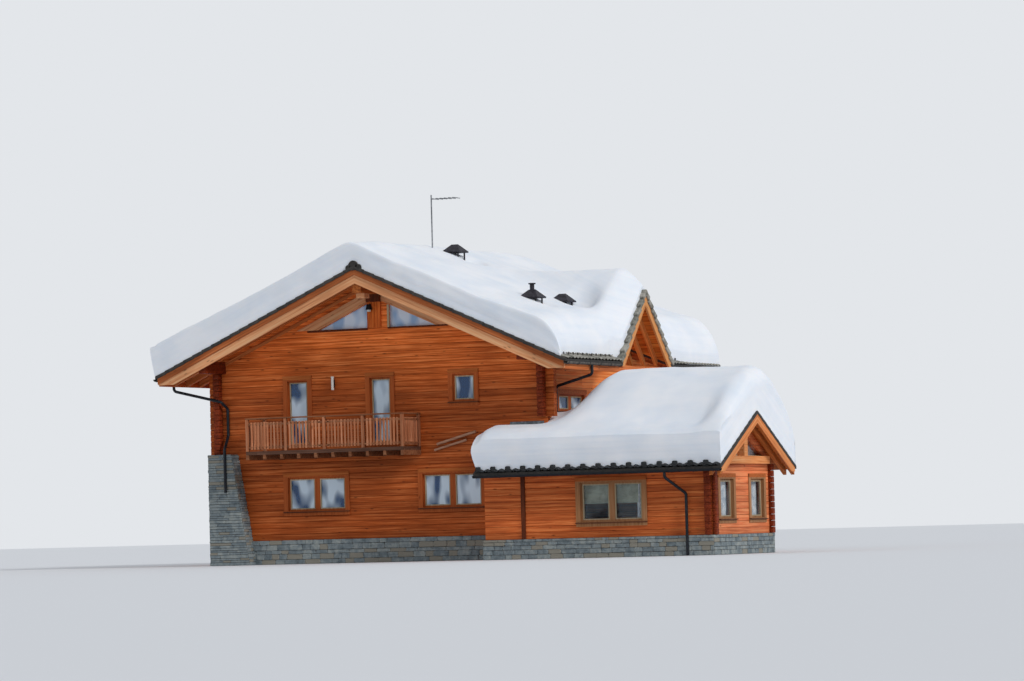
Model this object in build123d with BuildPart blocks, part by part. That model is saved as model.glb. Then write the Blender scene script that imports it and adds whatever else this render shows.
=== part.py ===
from build123d import *
import os

# Alpine log chalet with a two-storey gabled house, a low annex and deep roof snow.
# Millimetres. X to the right of the main gable, Y to the back, Z up.
# The origin is at ground level, under the middle of the main gable wall's outer face.

os.makedirs("parts", exist_ok=True)

# Main house
main_width = 11600
main_depth = 9000
log_wall = 220
log_end = 250
log_end_rise = 60
plinth_top = 750
plinth_wall = 340
plinth_proud = 60
floor_slab = 150
upper_floor_top = 3550
upper_floor_slab = 200

# Main roof: heights are of the tile surface, layers are measured straight down from it
main_slope = 0.44
main_eave_z = 6010
side_overhang = 1380
front_overhang = 1460
back_overhang = 1300
tile_layer = 90
deck_layer = 60
rafter_drop = 200
rafter_width = 110
rafter_spacing = 840
rafter_wall_gap = 10
ridge_cap_radius = 140
ridge_cap_sink = 47
eave_board_setback = 80
rafter_tail_setback = 30
upper_barge_drop = 190
lower_barge_drop = 270
barge_thickness = 40
barge_foot_drop = 270
verge_lip = 15

# Timber purlins that carry the rafters past the gables
purlin_width = 300
purlin_drop = 480
plate_drop = 260
plate_width = 250
plate_cover = 110
purlin_setback = 90

# Windows and doors: frame, sash, casing and glass
frame_depth = 130
frame_rim = 40
sash_setback = 60
sash_rim = 55
mullion = 200
casing_width = 110
casing_proud = 35
glass_thickness = 20
glass_setback = 90

# Front openings: centre across the wall, glass edges, foot and head of the hole
ground_window_width = 2120
ground_window_foot = 1620
ground_window_head = 2745
ground_window_left = -2265
ground_window_right = 2495
door_width = 800
door_foot = upper_floor_top + casing_width
door_head = 5780
door_left = -2865
door_right = 65
small_window_width = 830
small_window_foot = 4870
small_window_head = 5780
small_window_centre = 2975
gable_glass_foot = 7300
gable_glass_drop = 960
gable_glass_left = -310
gable_glass_right = 430
gable_post_width = 480
gable_post_proud = 120

# Side and back openings
side_window_width = 1900
side_window_foot = 4480
side_window_head = 5060
side_window_centre = 1750
plain_window_width = 1200
upper_window_foot = 4570
upper_window_lintel = 275.6
near_window_place = 0.3
far_window_place = 0.7
back_door_foot = plinth_top + casing_width
back_door_head = 2880

# Balcony on the main gable
balcony_left = -4100
balcony_right = 1450
balcony_depth = 1200
balcony_deck = 110
balcony_rail_height = 1045
joist_width = 90
joist_height = 150
joist_count = 10
rail_width = 70
rail_height = 60
post_size = 90
baluster_width = 60
baluster_depth = 25
balusters_per_bay = 10
bay_count = 4
low_rail_gap = 90
upper_rail_gap = 110

# Stone buttress at the front left corner
buttress_top = 3500
buttress_side_proud = 100
buttress_top_width = 830
buttress_foot_width = 1430
buttress_depth = 450

# Annex: a low gabled wing with its ridge along X
annex_bay = 1350
annex_length = 6150
annex_front = -1700
annex_back = 2800
annex_wall = 200
annex_base_top = 600
annex_base_wall = 300
annex_base_proud = 60
annex_floor_top = 250
annex_slope = 0.57
annex_eave_z = 2620
annex_eave_overhang = 650
annex_left_verge = 50
annex_right_verge = 600
annex_barge_foot_drop = 170
annex_rafter_drop = 160
annex_window_foot = 1040
annex_window_head = 2290
annex_front_window_width = 2120
annex_front_window_offset = 2880
annex_side_window_width = 1070
annex_side_window_offset = 1155
tie_beam_foot = 2700
tie_beam_height = 230
king_post_width = 260
annex_glass_clearance = 60

# Cross gable over the right eave of the main roof
cross_centre = 4480
cross_slope = 1.15
cross_ridge_z = 8250
cross_face_proud = 20
cross_tile_layer = 120
cross_deck_layer = 90
cross_rafter_drop = 220
cross_rafter_width = 110
cross_rafter_spacing = 430
cross_rafter_count = 3
cross_barge_drop = 330
cross_barge_thickness = 60

# Gutters and downpipes
gutter_radius = 75
gutter_wall = 6
gutter_drop = 60
downpipe_radius = 45
pipe_bend = 120
pipe_drop = 280
pipe_gap = 20
left_pipe_inset = 200
left_pipe_jog = 110
left_pipe_corner_rise = 1620
left_pipe_wall_rise = 1400
left_pipe_step_rise = 600
left_pipe_step_foot = 150
left_pipe_foot = 2300
right_pipe_y = 600
right_pipe_reach = 200
right_pipe_wall_rise = 1700
annex_pipe_inset = 780
annex_pipe_offset = 440
annex_pipe_bend_z = 1840

# Chimneys: centre on the roof, shaft, legs and metal cap
chimney_shaft = 480
chimney_cap = 640
chimney_leg = 40
chimney_leg_height = 230
chimney_cap_rise = 230
chimney_cap_lip = 40
chimney_places = ((900, 3750, 9520), (5000, 850, 7780), (5050, 2900, 7720))
cowl_radius = 70
cowl_height = 160
cowl_rim_radius = 112
cap_ridge_length = 215
cap_ridge_width = 55

# Antenna on the ridge chimney
mast_radius = 22
mast_top = 11600
mast_gap = 290
boom_length = 900
boom_radius = 12
antenna_rod_length = 500
antenna_rods = 6
boom_drop = 150

# Roof snow: depth straight up from the tiles at the named places
snow_left_eave = 930
snow_ridge = 720
snow_right_eave = 860
snow_shoulder = 1250
snow_round_share = 0.85
snow_right_setback = 270
snow_left_lip = 190
snow_gable_setback = 30
snow_back_drift = 320
cross_snow_depth = 830
cross_snow_verge_depth = 150
cross_snow_side_depth = 680
cross_crest_half = 350
cross_crest_sink = 130
cross_snow_round = 700
annex_snow_front = 1080
annex_snow_ridge = 1330
annex_snow_flat = 1900
annex_snow_wall_depth = 150
melt_gap = 110

# Derived sizes
half_width = main_width / 2
buttress_left = -half_width - buttress_side_proud
annex_left = half_width - annex_bay
annex_right = half_width + annex_length
annex_front_window_centre = half_width + annex_front_window_offset
roof_half = half_width + side_overhang
main_ridge_z = main_eave_z + roof_half * main_slope
roof_front = -front_overhang
roof_back = main_depth + back_overhang
deck_under = tile_layer + deck_layer
rafter_under = deck_under + rafter_drop
annex_ridge_y = (annex_front + annex_back) / 2
annex_roof_half = (annex_back - annex_front) / 2 + annex_eave_overhang
annex_ridge_z = annex_eave_z + annex_roof_half * annex_slope
annex_roof_left = annex_left - annex_left_verge
annex_roof_right = annex_right + annex_right_verge
annex_deck_under = tile_layer + deck_layer
cross_half = (cross_ridge_z - main_eave_z) / cross_slope
cross_face = roof_half + cross_face_proud
cross_start = (main_ridge_z - cross_ridge_z) / main_slope
cross_deck_under = cross_tile_layer + cross_deck_layer
log_end_foot = annex_ridge_z + log_end_rise


def main_z(x, drop=0):
    """Height of the main roof at x, drop below its tile surface."""
    return main_ridge_z - abs(x) * main_slope - drop


plate_foot = main_z(half_width - plate_cover, rafter_under) - plate_drop
upper_window_head = plate_foot - upper_window_lintel


def annex_z(y, drop=0):
    """Height of the annex roof at y, drop below its tile surface."""
    return annex_ridge_z - abs(y - annex_ridge_y) * annex_slope - drop


def cross_z(y, drop=0):
    """Height of the cross gable's roof at y, drop below its tile surface."""
    return cross_ridge_z - abs(y - cross_centre) * cross_slope - drop


def block(x0, x1, y0, y1, z0, z1, mode=Mode.ADD):
    """A box between two corners."""
    with Locations(((x0 + x1) / 2, (y0 + y1) / 2, (z0 + z1) / 2)):
        Box(x1 - x0, y1 - y0, z1 - z0, mode=mode)


def prism_y(points, y0, y1, mode=Mode.ADD):
    """A profile of (x, z) points that runs from y0 back to y1."""
    with BuildSketch(Plane.XZ.offset(-y1)) as profile:
        with BuildLine():
            Polyline(*points, close=True)
        make_face()
    extrude(profile.sketch, amount=y1 - y0, dir=(0, -1, 0), mode=mode)


def prism_x(points, x0, x1, mode=Mode.ADD):
    """A profile of (y, z) points that runs from x0 right to x1."""
    with BuildSketch(Plane.YZ.offset(x0)) as profile:
        with BuildLine():
            Polyline(*points, close=True)
        make_face()
    extrude(profile.sketch, amount=x1 - x0, dir=(1, 0, 0), mode=mode)


def main_layer(side, x0, x1, top, bottom, y0, y1, mode=Mode.ADD):
    """One sloping layer of the main roof on one side (-1 left, 1 right)."""
    points = (
        (side * x0, main_z(x0, top)),
        (side * x1, main_z(x1, top)),
        (side * x1, main_z(x1, bottom)),
        (side * x0, main_z(x0, bottom)),
    )
    prism_y(points, y0, y1, mode)


def annex_layer(y0, y1, top, bottom, x0, x1, mode=Mode.ADD):
    """One sloping layer of the annex roof between two lines of y on one side of its ridge."""
    points = (
        (y0, annex_z(y0, top)),
        (y1, annex_z(y1, top)),
        (y1, annex_z(y1, bottom)),
        (y0, annex_z(y0, bottom)),
    )
    prism_x(points, x0, x1, mode)


def cross_layer(half, top, bottom, x0, x1, mode=Mode.ADD):
    """Both slopes of one layer of the cross gable, out to half from its middle."""
    y0, y1 = cross_centre - half, cross_centre + half
    points = (
        (y0, cross_z(y0, top)),
        (cross_centre, cross_ridge_z - top),
        (y1, cross_z(y1, top)),
        (y1, cross_z(y1, bottom)),
        (cross_centre, cross_ridge_z - bottom),
        (y0, cross_z(y0, bottom)),
    )
    prism_x(points, x0, x1, mode)


def cross_core(drop, x0, x1, mode=Mode.SUBTRACT):
    """All the space under the cross gable's roof, drop below its tile surface."""
    half = cross_half + side_overhang
    y0, y1 = cross_centre - half, cross_centre + half
    points = ((y0, cross_z(y0, drop)), (cross_centre, cross_ridge_z - drop), (y1, cross_z(y1, drop)))
    prism_x(points, x0, x1, mode)


def under_main_roof(drop, mode=Mode.SUBTRACT):
    """All the space under the main roof, drop below its tile surface."""
    reach = roof_half + side_overhang
    foot = main_z(reach, drop)
    points = ((-reach, foot), (0, main_z(0, drop)), (reach, foot))
    prism_y(points, roof_front - front_overhang, roof_back + back_overhang, mode)


front_face = Plane(origin=(0, 0, 0), x_dir=(1, 0, 0), z_dir=(0, -1, 0))
back_face = Plane(origin=(0, main_depth, 0), x_dir=(-1, 0, 0), z_dir=(0, 1, 0))
right_face = Plane(origin=(half_width, 0, 0), x_dir=(0, 1, 0), z_dir=(1, 0, 0))
left_face = Plane(origin=(-half_width, 0, 0), x_dir=(0, -1, 0), z_dir=(-1, 0, 0))
annex_front_face = Plane(origin=(0, annex_front, 0), x_dir=(1, 0, 0), z_dir=(0, -1, 0))
annex_gable_face = Plane(origin=(annex_right, 0, 0), x_dir=(0, 1, 0), z_dir=(1, 0, 0))
annex_back_face = Plane(origin=(0, annex_back, 0), x_dir=(-1, 0, 0), z_dir=(0, 1, 0))

# Each opening: wall face, centre along the wall, width, foot, head, number of sashes
def window_row(face, places, width, foot, head, sashes=1):
    """Like openings at several places along one wall."""
    return tuple((face, place, width, foot, head, sashes) for place in places)


near_place, far_place = main_depth * near_window_place, main_depth * far_window_place
gable_places = (ground_window_left, ground_window_right)
back_places = tuple(-place for place in gable_places)
ground_openings = window_row(front_face, gable_places, ground_window_width,
                             ground_window_foot, ground_window_head, 2)
upper_openings = (
    window_row(front_face, (door_left, door_right), door_width, door_foot, door_head)
    + window_row(front_face, (small_window_centre,), small_window_width, small_window_foot, small_window_head)
)
back_ground_openings = (
    window_row(back_face, back_places, ground_window_width, ground_window_foot, ground_window_head, 2)
    + window_row(back_face, (0,), door_width, back_door_foot, back_door_head)
)
back_upper_openings = window_row(back_face, back_places, plain_window_width,
                                 upper_window_foot, upper_window_head)
left_ground_openings = window_row(left_face, (-near_place, -far_place), plain_window_width,
                                  ground_window_foot, ground_window_head)
left_upper_openings = window_row(left_face, (-near_place, -far_place), plain_window_width,
                                 upper_window_foot, upper_window_head)
right_ground_openings = window_row(right_face, (far_place,), plain_window_width,
                                   ground_window_foot, ground_window_head)
right_upper_openings = (
    window_row(right_face, (side_window_centre,), side_window_width, side_window_foot, side_window_head, 2)
    + window_row(right_face, (far_place,), plain_window_width, upper_window_foot, upper_window_head)
)
annex_gable_places = (annex_ridge_y - annex_side_window_offset, annex_ridge_y + annex_side_window_offset)
annex_front_openings = window_row(annex_front_face, (annex_front_window_centre,), annex_front_window_width,
                                  annex_window_foot, annex_window_head, 2)
annex_gable_openings = window_row(annex_gable_face, annex_gable_places, annex_side_window_width,
                                  annex_window_foot, annex_window_head)
annex_back_openings = window_row(annex_back_face, (-annex_front_window_centre,), plain_window_width,
                                 annex_window_foot, annex_window_head)


def rectangle(plane, u0, u1, v0, v1, depth_from, depth_to, mode=Mode.ADD):
    """A block on a wall face: u along the wall, v up, depth outwards from the face."""
    with BuildSketch(plane.offset(depth_from)) as profile:
        with Locations(((u0 + u1) / 2, (v0 + v1) / 2)):
            Rectangle(u1 - u0, v1 - v0)
    extrude(profile.sketch, amount=depth_to - depth_from, dir=plane.z_dir, mode=mode)


def cut_openings(openings, thickness):
    """Cut each opening right through its wall."""
    for plane, centre, width, foot, head, sashes in openings:
        rectangle(plane, centre - width / 2, centre + width / 2, foot, head, -thickness, 0, Mode.SUBTRACT)


def panes(centre, width, foot, head, sashes):
    """The glass rectangles of an opening, as (u0, u1, v0, v1)."""
    rim = frame_rim + sash_rim
    left, right = centre - width / 2 + rim, centre + width / 2 - rim
    if sashes == 1:
        return [(left, right, foot + rim, head - rim)]
    return [
        (left, centre - mullion / 2, foot + rim, head - rim),
        (centre + mullion / 2, right, foot + rim, head - rim),
    ]


def add_frames(openings):
    """A timber frame, its sash rims and its outer casing for each opening."""
    for plane, centre, width, foot, head, sashes in openings:
        u0, u1 = centre - width / 2, centre + width / 2
        rectangle(plane, u0, u1, foot, head, -frame_depth, 0)
        rectangle(plane, u0 - casing_width, u1 + casing_width, foot - casing_width, head + casing_width,
                  0, casing_proud)
        rectangle(plane, u0 + frame_rim, u1 - frame_rim, foot + frame_rim, head - frame_rim,
                  -sash_setback, casing_proud, Mode.SUBTRACT)
        for a, b, c, d in panes(centre, width, foot, head, sashes):
            rectangle(plane, a, b, c, d, -frame_depth, casing_proud, Mode.SUBTRACT)


def add_glass(openings):
    """One sheet of glass in each sash."""
    for plane, centre, width, foot, head, sashes in openings:
        for a, b, c, d in panes(centre, width, foot, head, sashes):
            rectangle(plane, a, b, c, d, -glass_setback - glass_thickness, -glass_setback)


# Stone plinth and floors
with BuildPart() as main_plinth:
    block(-half_width - plinth_proud, half_width + plinth_proud, -plinth_proud, main_depth + plinth_proud,
          0, plinth_top)
    inner = plinth_wall - plinth_proud
    block(-half_width + inner, half_width - inner, inner, main_depth - inner, 0, plinth_top, Mode.SUBTRACT)

with BuildPart() as ground_floor:
    block(-half_width + inner, half_width - inner, inner, main_depth - inner,
          plinth_top - floor_slab, plinth_top)

with BuildPart() as upper_floor:
    block(-half_width + log_wall, half_width - log_wall, log_wall, main_depth - log_wall,
          upper_floor_top - upper_floor_slab, upper_floor_top)

# Corner buttress of stone, plumb on the left and battered on the right
with BuildPart() as corner_buttress:
    prism_y(
        (
            (buttress_left, 0),
            (buttress_left + buttress_foot_width, 0),
            (buttress_left + buttress_top_width, buttress_top),
            (buttress_left, buttress_top),
        ),
        -buttress_depth, -plinth_proud,
    )
    block(buttress_left, buttress_left + buttress_top_width, -plinth_proud, 0, plinth_top, buttress_top)

# Rafters: evenly spaced pairs between the barge boards, clear of the gable walls
rafter_first = roof_front + 2 * barge_thickness + verge_lip
rafter_last = roof_back - 2 * barge_thickness - verge_lip - rafter_width
rafter_steps = round((rafter_last - rafter_first) / rafter_spacing)
rafter_ys = []
for step in range(rafter_steps + 1):
    y = rafter_first + (rafter_last - rafter_first) * step / rafter_steps
    if -rafter_width < y < log_wall:
        y = log_wall + rafter_wall_gap
    if main_depth - log_wall - rafter_width < y < main_depth:
        y = main_depth - log_wall - rafter_width - rafter_wall_gap
    rafter_ys.append(y)

with BuildPart() as rafters:
    for side in (-1, 1):
        for y in rafter_ys:
            main_layer(side, rafter_width / 2, roof_half - eave_board_setback - rafter_tail_setback,
                       deck_under, rafter_under, y, y + rafter_width)
    cross_core(cross_deck_under, cross_start - side_overhang, cross_face + side_overhang)

with BuildPart() as ridge_purlin:
    half = purlin_width / 2
    foot = main_z(0, rafter_under) - purlin_drop
    prism_y(
        ((-half, foot), (half, foot), (half, main_z(half, rafter_under)), (0, main_z(0, rafter_under)),
         (-half, main_z(half, rafter_under))),
        rafter_first + purlin_setback, rafter_last - purlin_setback + rafter_width,
    )
    half = rafter_width / 2
    prism_y(
        ((-half, main_z(half, rafter_under)), (half, main_z(half, rafter_under)),
         (half, main_z(half, deck_under)), (0, main_z(0, deck_under)), (-half, main_z(half, deck_under))),
        rafter_first, rafter_last + rafter_width,
    )

with BuildPart() as eave_plates:
    for side in (-1, 1):
        outer_x = half_width - plate_cover
        inner_x = outer_x - plate_width
        points = (
            (side * inner_x, main_z(inner_x, rafter_under)),
            (side * outer_x, main_z(outer_x, rafter_under)),
            (side * outer_x, main_z(outer_x, rafter_under) - plate_drop),
            (side * inner_x, main_z(outer_x, rafter_under) - plate_drop),
        )
        prism_y(points, rafter_first + purlin_setback, rafter_last - purlin_setback + rafter_width)

# The two triangular lights of the main gable, as (x, z) points
gable_glass_tip = (main_ridge_z - gable_glass_drop - gable_glass_foot) / main_slope
gable_triangles = [
    ((near, gable_glass_foot), (tip, gable_glass_foot), (near, main_z(near, gable_glass_drop)))
    for near, tip in ((gable_glass_left, -gable_glass_tip), (gable_glass_right, gable_glass_tip))
]

# Log walls of the main house
with BuildPart() as front_wall_ground:
    block(-half_width - log_end, half_width, 0, log_wall, plinth_top, upper_floor_top)
    cut_openings(ground_openings, log_wall)


def gable_wall(y0, y1):
    """An upper gable wall up to the roof boards, with ends that pass the corners."""
    points = (
        (-half_width, upper_floor_top),
        (half_width, upper_floor_top),
        (half_width, main_z(half_width, deck_under)),
        (0, main_z(0, deck_under)),
        (-half_width, main_z(half_width, deck_under)),
    )
    prism_y(points, y0, y1)
    block(-half_width - log_end, -half_width, y0, y1, upper_floor_top, plate_foot)
    block(half_width, half_width + log_end, y0, y1, log_end_foot, plate_foot)


with BuildPart() as front_wall_upper:
    gable_wall(0, log_wall)
    cut_openings(upper_openings, log_wall)
    for points in gable_triangles:
        prism_y(points, 0, log_wall, Mode.SUBTRACT)
    add(ridge_purlin.part, mode=Mode.SUBTRACT)
    add(eave_plates.part, mode=Mode.SUBTRACT)

with BuildPart() as back_wall_ground:
    block(-half_width - log_end, half_width + log_end, main_depth - log_wall, main_depth,
          plinth_top, upper_floor_top)
    cut_openings(back_ground_openings, log_wall)

with BuildPart() as back_wall_upper:
    gable_wall(main_depth - log_wall, main_depth)
    block(half_width, half_width + log_end, main_depth - log_wall, main_depth, upper_floor_top, log_end_foot)
    cut_openings(back_upper_openings, log_wall)
    add(ridge_purlin.part, mode=Mode.SUBTRACT)
    add(eave_plates.part, mode=Mode.SUBTRACT)


def side_wall(side):
    """A long wall between the gable walls, from the plinth to the eave plate and the roof boards."""
    inner_x, cover_x = half_width - log_wall, half_width - plate_cover
    points = (
        (side * inner_x, plinth_top),
        (side * half_width, plinth_top),
        (side * half_width, main_z(half_width, deck_under)),
        (side * cover_x, main_z(cover_x, deck_under)),
        (side * cover_x, plate_foot),
        (side * inner_x, plate_foot),
    )
    prism_y(points, log_wall, main_depth - log_wall)
    add(rafters.part, mode=Mode.SUBTRACT)


with BuildPart() as left_wall:
    side_wall(-1)
    cut_openings(left_ground_openings + left_upper_openings, log_wall)

with BuildPart() as right_wall:
    side_wall(1)
    cut_openings(right_ground_openings + right_upper_openings, log_wall)

with BuildPart() as corner_log_ends:
    left, right = -half_width, half_width - log_wall
    block(left, left + log_wall, -log_end, 0, buttress_top, plate_foot)
    block(right, right + log_wall, -log_end, 0, log_end_foot, plate_foot)
    for x in (left, right):
        block(x, x + log_wall, main_depth, main_depth + log_end, plinth_top, plate_foot)

# Roof boards, barge boards and tiles of the main roof
with BuildPart() as roof_deck:
    for side in (-1, 1):
        main_layer(side, 0, roof_half - eave_board_setback, tile_layer, deck_under,
                   rafter_first, rafter_last + rafter_width)
    cross_core(cross_deck_under, cross_start - side_overhang, cross_face + side_overhang)

with BuildPart() as lower_barge_boards:
    for y in (rafter_first - barge_thickness, rafter_last + rafter_width):
        for side in (-1, 1):
            main_layer(side, 0, roof_half - eave_board_setback, tile_layer,
                       tile_layer + upper_barge_drop + lower_barge_drop, y, y + barge_thickness)
    block(-roof_half, roof_half, roof_front, roof_back, 0, main_eave_z - barge_foot_drop, Mode.SUBTRACT)

with BuildPart() as upper_barge_boards:
    for y in (rafter_first - 2 * barge_thickness, rafter_last + rafter_width + barge_thickness):
        for side in (-1, 1):
            main_layer(side, 0, roof_half - eave_board_setback, tile_layer, tile_layer + upper_barge_drop,
                       y, y + barge_thickness)

with BuildPart() as roof_tiles_left:
    main_layer(-1, 0, roof_half, 0, tile_layer, roof_front, roof_back)

with BuildPart() as roof_tiles_right:
    main_layer(1, 0, roof_half, 0, tile_layer, roof_front, roof_back)
    cross_core(cross_deck_under, cross_start - side_overhang, cross_face + side_overhang)

with BuildPart() as ridge_cap:
    with BuildSketch(Plane.XZ.offset(-roof_back)) as cap_profile:
        with Locations((0, main_z(0) - ridge_cap_sink)):
            Circle(ridge_cap_radius)
    extrude(cap_profile.sketch, amount=roof_back - roof_front, dir=(0, -1, 0))
    under_main_roof(0)

# Cross gable
with BuildPart() as cross_gable_wall:
    half = (cross_ridge_z - cross_deck_under - plate_foot) / cross_slope
    prism_x(
        (
            (cross_centre - half, plate_foot),
            (cross_centre + half, plate_foot),
            (cross_centre, cross_ridge_z - cross_deck_under),
        ),
        half_width - log_wall, half_width,
    )
    add(right_wall.part, mode=Mode.SUBTRACT)
    add(eave_plates.part, mode=Mode.SUBTRACT)

with BuildPart() as cross_gable_deck:
    cross_layer(cross_half, cross_tile_layer, cross_deck_under, cross_start - side_overhang,
                roof_half - cross_barge_thickness)
    under_main_roof(0)

with BuildPart() as cross_gable_tiles:
    cross_layer(cross_half, 0, cross_tile_layer, cross_start - side_overhang, cross_face)
    under_main_roof(0)

with BuildPart() as cross_gable_rafters:
    for step in range(cross_rafter_count):
        x = roof_half - cross_barge_thickness - (step + 1) * cross_rafter_spacing
        cross_layer(cross_half - cross_barge_drop, cross_deck_under, cross_deck_under + cross_rafter_drop,
                    x, x + cross_rafter_width)

with BuildPart() as cross_gable_barge:
    cross_layer(cross_half, cross_tile_layer, cross_tile_layer + cross_barge_drop,
                roof_half - cross_barge_thickness, roof_half)
    block(0, 2 * roof_half, 0, main_depth, 0, main_z(roof_half, deck_under), Mode.SUBTRACT)
    add(roof_tiles_right.part, mode=Mode.SUBTRACT)
    add(roof_deck.part, mode=Mode.SUBTRACT)

# Balcony
deck_top = upper_floor_top
deck_foot = deck_top - balcony_deck
with BuildPart() as balcony_deck_boards:
    block(balcony_left, balcony_right, -balcony_depth, 0, deck_foot, deck_top)

with BuildPart() as balcony_joists:
    spacing = (balcony_right - balcony_left - joist_width) / (joist_count - 1)
    for step in range(joist_count):
        x = balcony_left + spacing * step
        block(x, x + joist_width, -balcony_depth, 0, deck_foot - joist_height, deck_foot)

rail_top = deck_top + balcony_rail_height
low_rail_foot = deck_top + low_rail_gap
upper_rail_foot = rail_top - rail_height - upper_rail_gap
front_rail_y = -balcony_depth + post_size / 2


def railing_front():
    """Posts, rails and balusters along the balcony's front."""
    y0, y1 = front_rail_y - post_size / 2, front_rail_y + post_size / 2
    bay = (balcony_right - balcony_left - post_size) / bay_count
    for step in range(bay_count + 1):
        x = balcony_left + bay * step
        block(x, x + post_size, y0, y1, deck_top, rail_top - rail_height)
    block(balcony_left, balcony_right, y0, y1, rail_top - rail_height, rail_top)
    for foot in (low_rail_foot, upper_rail_foot):
        block(balcony_left, balcony_right, front_rail_y - rail_width / 2, front_rail_y + rail_width / 2,
              foot, foot + rail_height)
    pitch = (bay - post_size) / (balusters_per_bay + 1)
    for step in range(bay_count):
        start = balcony_left + bay * step + post_size
        for place in range(balusters_per_bay):
            x = start + pitch * (place + 1) - baluster_width / 2
            block(x, x + baluster_width, front_rail_y - baluster_depth / 2, front_rail_y + baluster_depth / 2,
                  low_rail_foot, upper_rail_foot + rail_height)


def railing_return(x0):
    """Rails and balusters from the front railing back to the wall, with a half post at the wall."""
    x1 = x0 + post_size
    middle = (x0 + x1) / 2
    start = -balcony_depth + post_size
    block(x0, x1, -post_size, 0, deck_top, rail_top - rail_height)
    block(x0, x1, start, 0, rail_top - rail_height, rail_top)
    for foot in (low_rail_foot, upper_rail_foot):
        block(middle - rail_width / 2, middle + rail_width / 2, start, 0, foot, foot + rail_height)
    clear = -post_size - start
    count = round(balusters_per_bay * clear / ((balcony_right - balcony_left) / bay_count))
    for place in range(count):
        y = start + clear * (place + 1) / (count + 1) - baluster_width / 2
        block(middle - baluster_depth / 2, middle + baluster_depth / 2, y, y + baluster_width,
              low_rail_foot, upper_rail_foot + rail_height)


with BuildPart() as balcony_railing:
    railing_front()

with BuildPart() as balcony_railing_ends:
    railing_return(balcony_left)
    railing_return(balcony_right - post_size)

# Windows and doors of the main house
with BuildPart() as front_window_frames:
    add_frames(ground_openings + upper_openings)

with BuildPart() as front_window_glass:
    add_glass(ground_openings + upper_openings)

with BuildPart() as gable_glass:
    for points in gable_triangles:
        prism_y(points, glass_setback, glass_setback + glass_thickness)

other_openings = (left_ground_openings + left_upper_openings + right_ground_openings
                  + right_upper_openings + back_ground_openings + back_upper_openings)
with BuildPart() as side_and_back_window_frames:
    add_frames(other_openings)

with BuildPart() as side_and_back_window_glass:
    add_glass(other_openings)

# Post under the ridge purlin, between the two gable lights
with BuildPart() as gable_king_post:
    block(gable_glass_left, gable_glass_left + gable_post_width, -gable_post_proud, 0,
          gable_glass_foot, main_z(0, rafter_under) - purlin_drop)

# Annex
with BuildPart() as annex_base:
    outer_left, outer_right = annex_left - annex_base_proud, annex_right + annex_base_proud
    outer_front, outer_back = annex_front - annex_base_proud, annex_back + annex_base_proud
    block(outer_left, outer_right, outer_front, outer_back, 0, annex_base_top)
    block(outer_left + annex_base_wall, outer_right - annex_base_wall,
          outer_front + annex_base_wall, outer_back - annex_base_wall, 0, annex_base_top, Mode.SUBTRACT)
    block(-half_width, half_width + plinth_proud, -plinth_proud, main_depth, 0, annex_base_top, Mode.SUBTRACT)

with BuildPart() as annex_floor:
    block(outer_left + annex_base_wall, outer_right - annex_base_wall,
          outer_front + annex_base_wall, outer_back - annex_base_wall,
          annex_floor_top - floor_slab, annex_floor_top)
    block(-half_width, half_width + plinth_proud, -plinth_proud, main_depth, 0, annex_base_top, Mode.SUBTRACT)


def annex_wall_top(y0, y1):
    """Profile of an annex wall that runs along X, up to the roof boards."""
    return (
        (y0, annex_base_top),
        (y1, annex_base_top),
        (y1, annex_z(y1, annex_deck_under)),
        (y0, annex_z(y0, annex_deck_under)),
    )


with BuildPart() as annex_front_wall:
    prism_x(annex_wall_top(annex_front, annex_front + annex_wall), annex_left, annex_right)
    cut_openings(annex_front_openings, annex_wall)

with BuildPart() as annex_back_wall:
    prism_x(annex_wall_top(annex_back - annex_wall, annex_back), half_width, annex_right)
    cut_openings(annex_back_openings, annex_wall)
    add(main_plinth.part, mode=Mode.SUBTRACT)

with BuildPart() as annex_left_wall:
    prism_x(annex_wall_top(annex_front + annex_wall, 0), annex_left, annex_left + annex_wall)
    add(main_plinth.part, mode=Mode.SUBTRACT)

# The two small triangular lights beside the annex king post, as (y, z) points
annex_glass_foot = tie_beam_foot + tie_beam_height
annex_glass_drop = annex_deck_under + annex_rafter_drop + annex_glass_clearance
annex_glass_tip = (annex_ridge_z - annex_glass_drop - annex_glass_foot) / annex_slope
annex_triangles = [
    (
        (annex_ridge_y + side * king_post_width / 2, annex_glass_foot),
        (annex_ridge_y + side * annex_glass_tip, annex_glass_foot),
        (annex_ridge_y + side * king_post_width / 2,
         annex_z(annex_ridge_y + side * king_post_width / 2, annex_glass_drop)),
    )
    for side in (-1, 1)
]

with BuildPart() as annex_gable_wall:
    y0, y1 = annex_front + annex_wall, annex_back - annex_wall
    prism_x(
        (
            (y0, annex_base_top),
            (y1, annex_base_top),
            (y1, annex_z(y1, annex_deck_under)),
            (annex_ridge_y, annex_ridge_z - annex_deck_under),
            (y0, annex_z(y0, annex_deck_under)),
        ),
        annex_right - annex_wall, annex_right,
    )
    cut_openings(annex_gable_openings, annex_wall)
    for points in annex_triangles:
        prism_x(points, annex_right - annex_wall, annex_right, Mode.SUBTRACT)


def annex_roof(y_inset, x_inset_left, x_inset_right, top, bottom):
    """A layer over both slopes, with the front slope alone where it meets the main gable."""
    left, right = annex_roof_left + x_inset_left, annex_roof_right - x_inset_right
    front = annex_ridge_y - annex_roof_half + y_inset
    back = annex_ridge_y + annex_roof_half - y_inset
    annex_layer(front, annex_ridge_y, top, bottom, left, right)
    annex_layer(annex_ridge_y, back, top, bottom, left, right)
    block(-half_width, half_width, 0, main_depth, 0, main_ridge_z, Mode.SUBTRACT)


with BuildPart() as annex_roof_deck:
    annex_roof(eave_board_setback, 0, barge_thickness, tile_layer, annex_deck_under)

with BuildPart() as annex_roof_tiles:
    annex_roof(0, 0, 0, 0, tile_layer)

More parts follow.
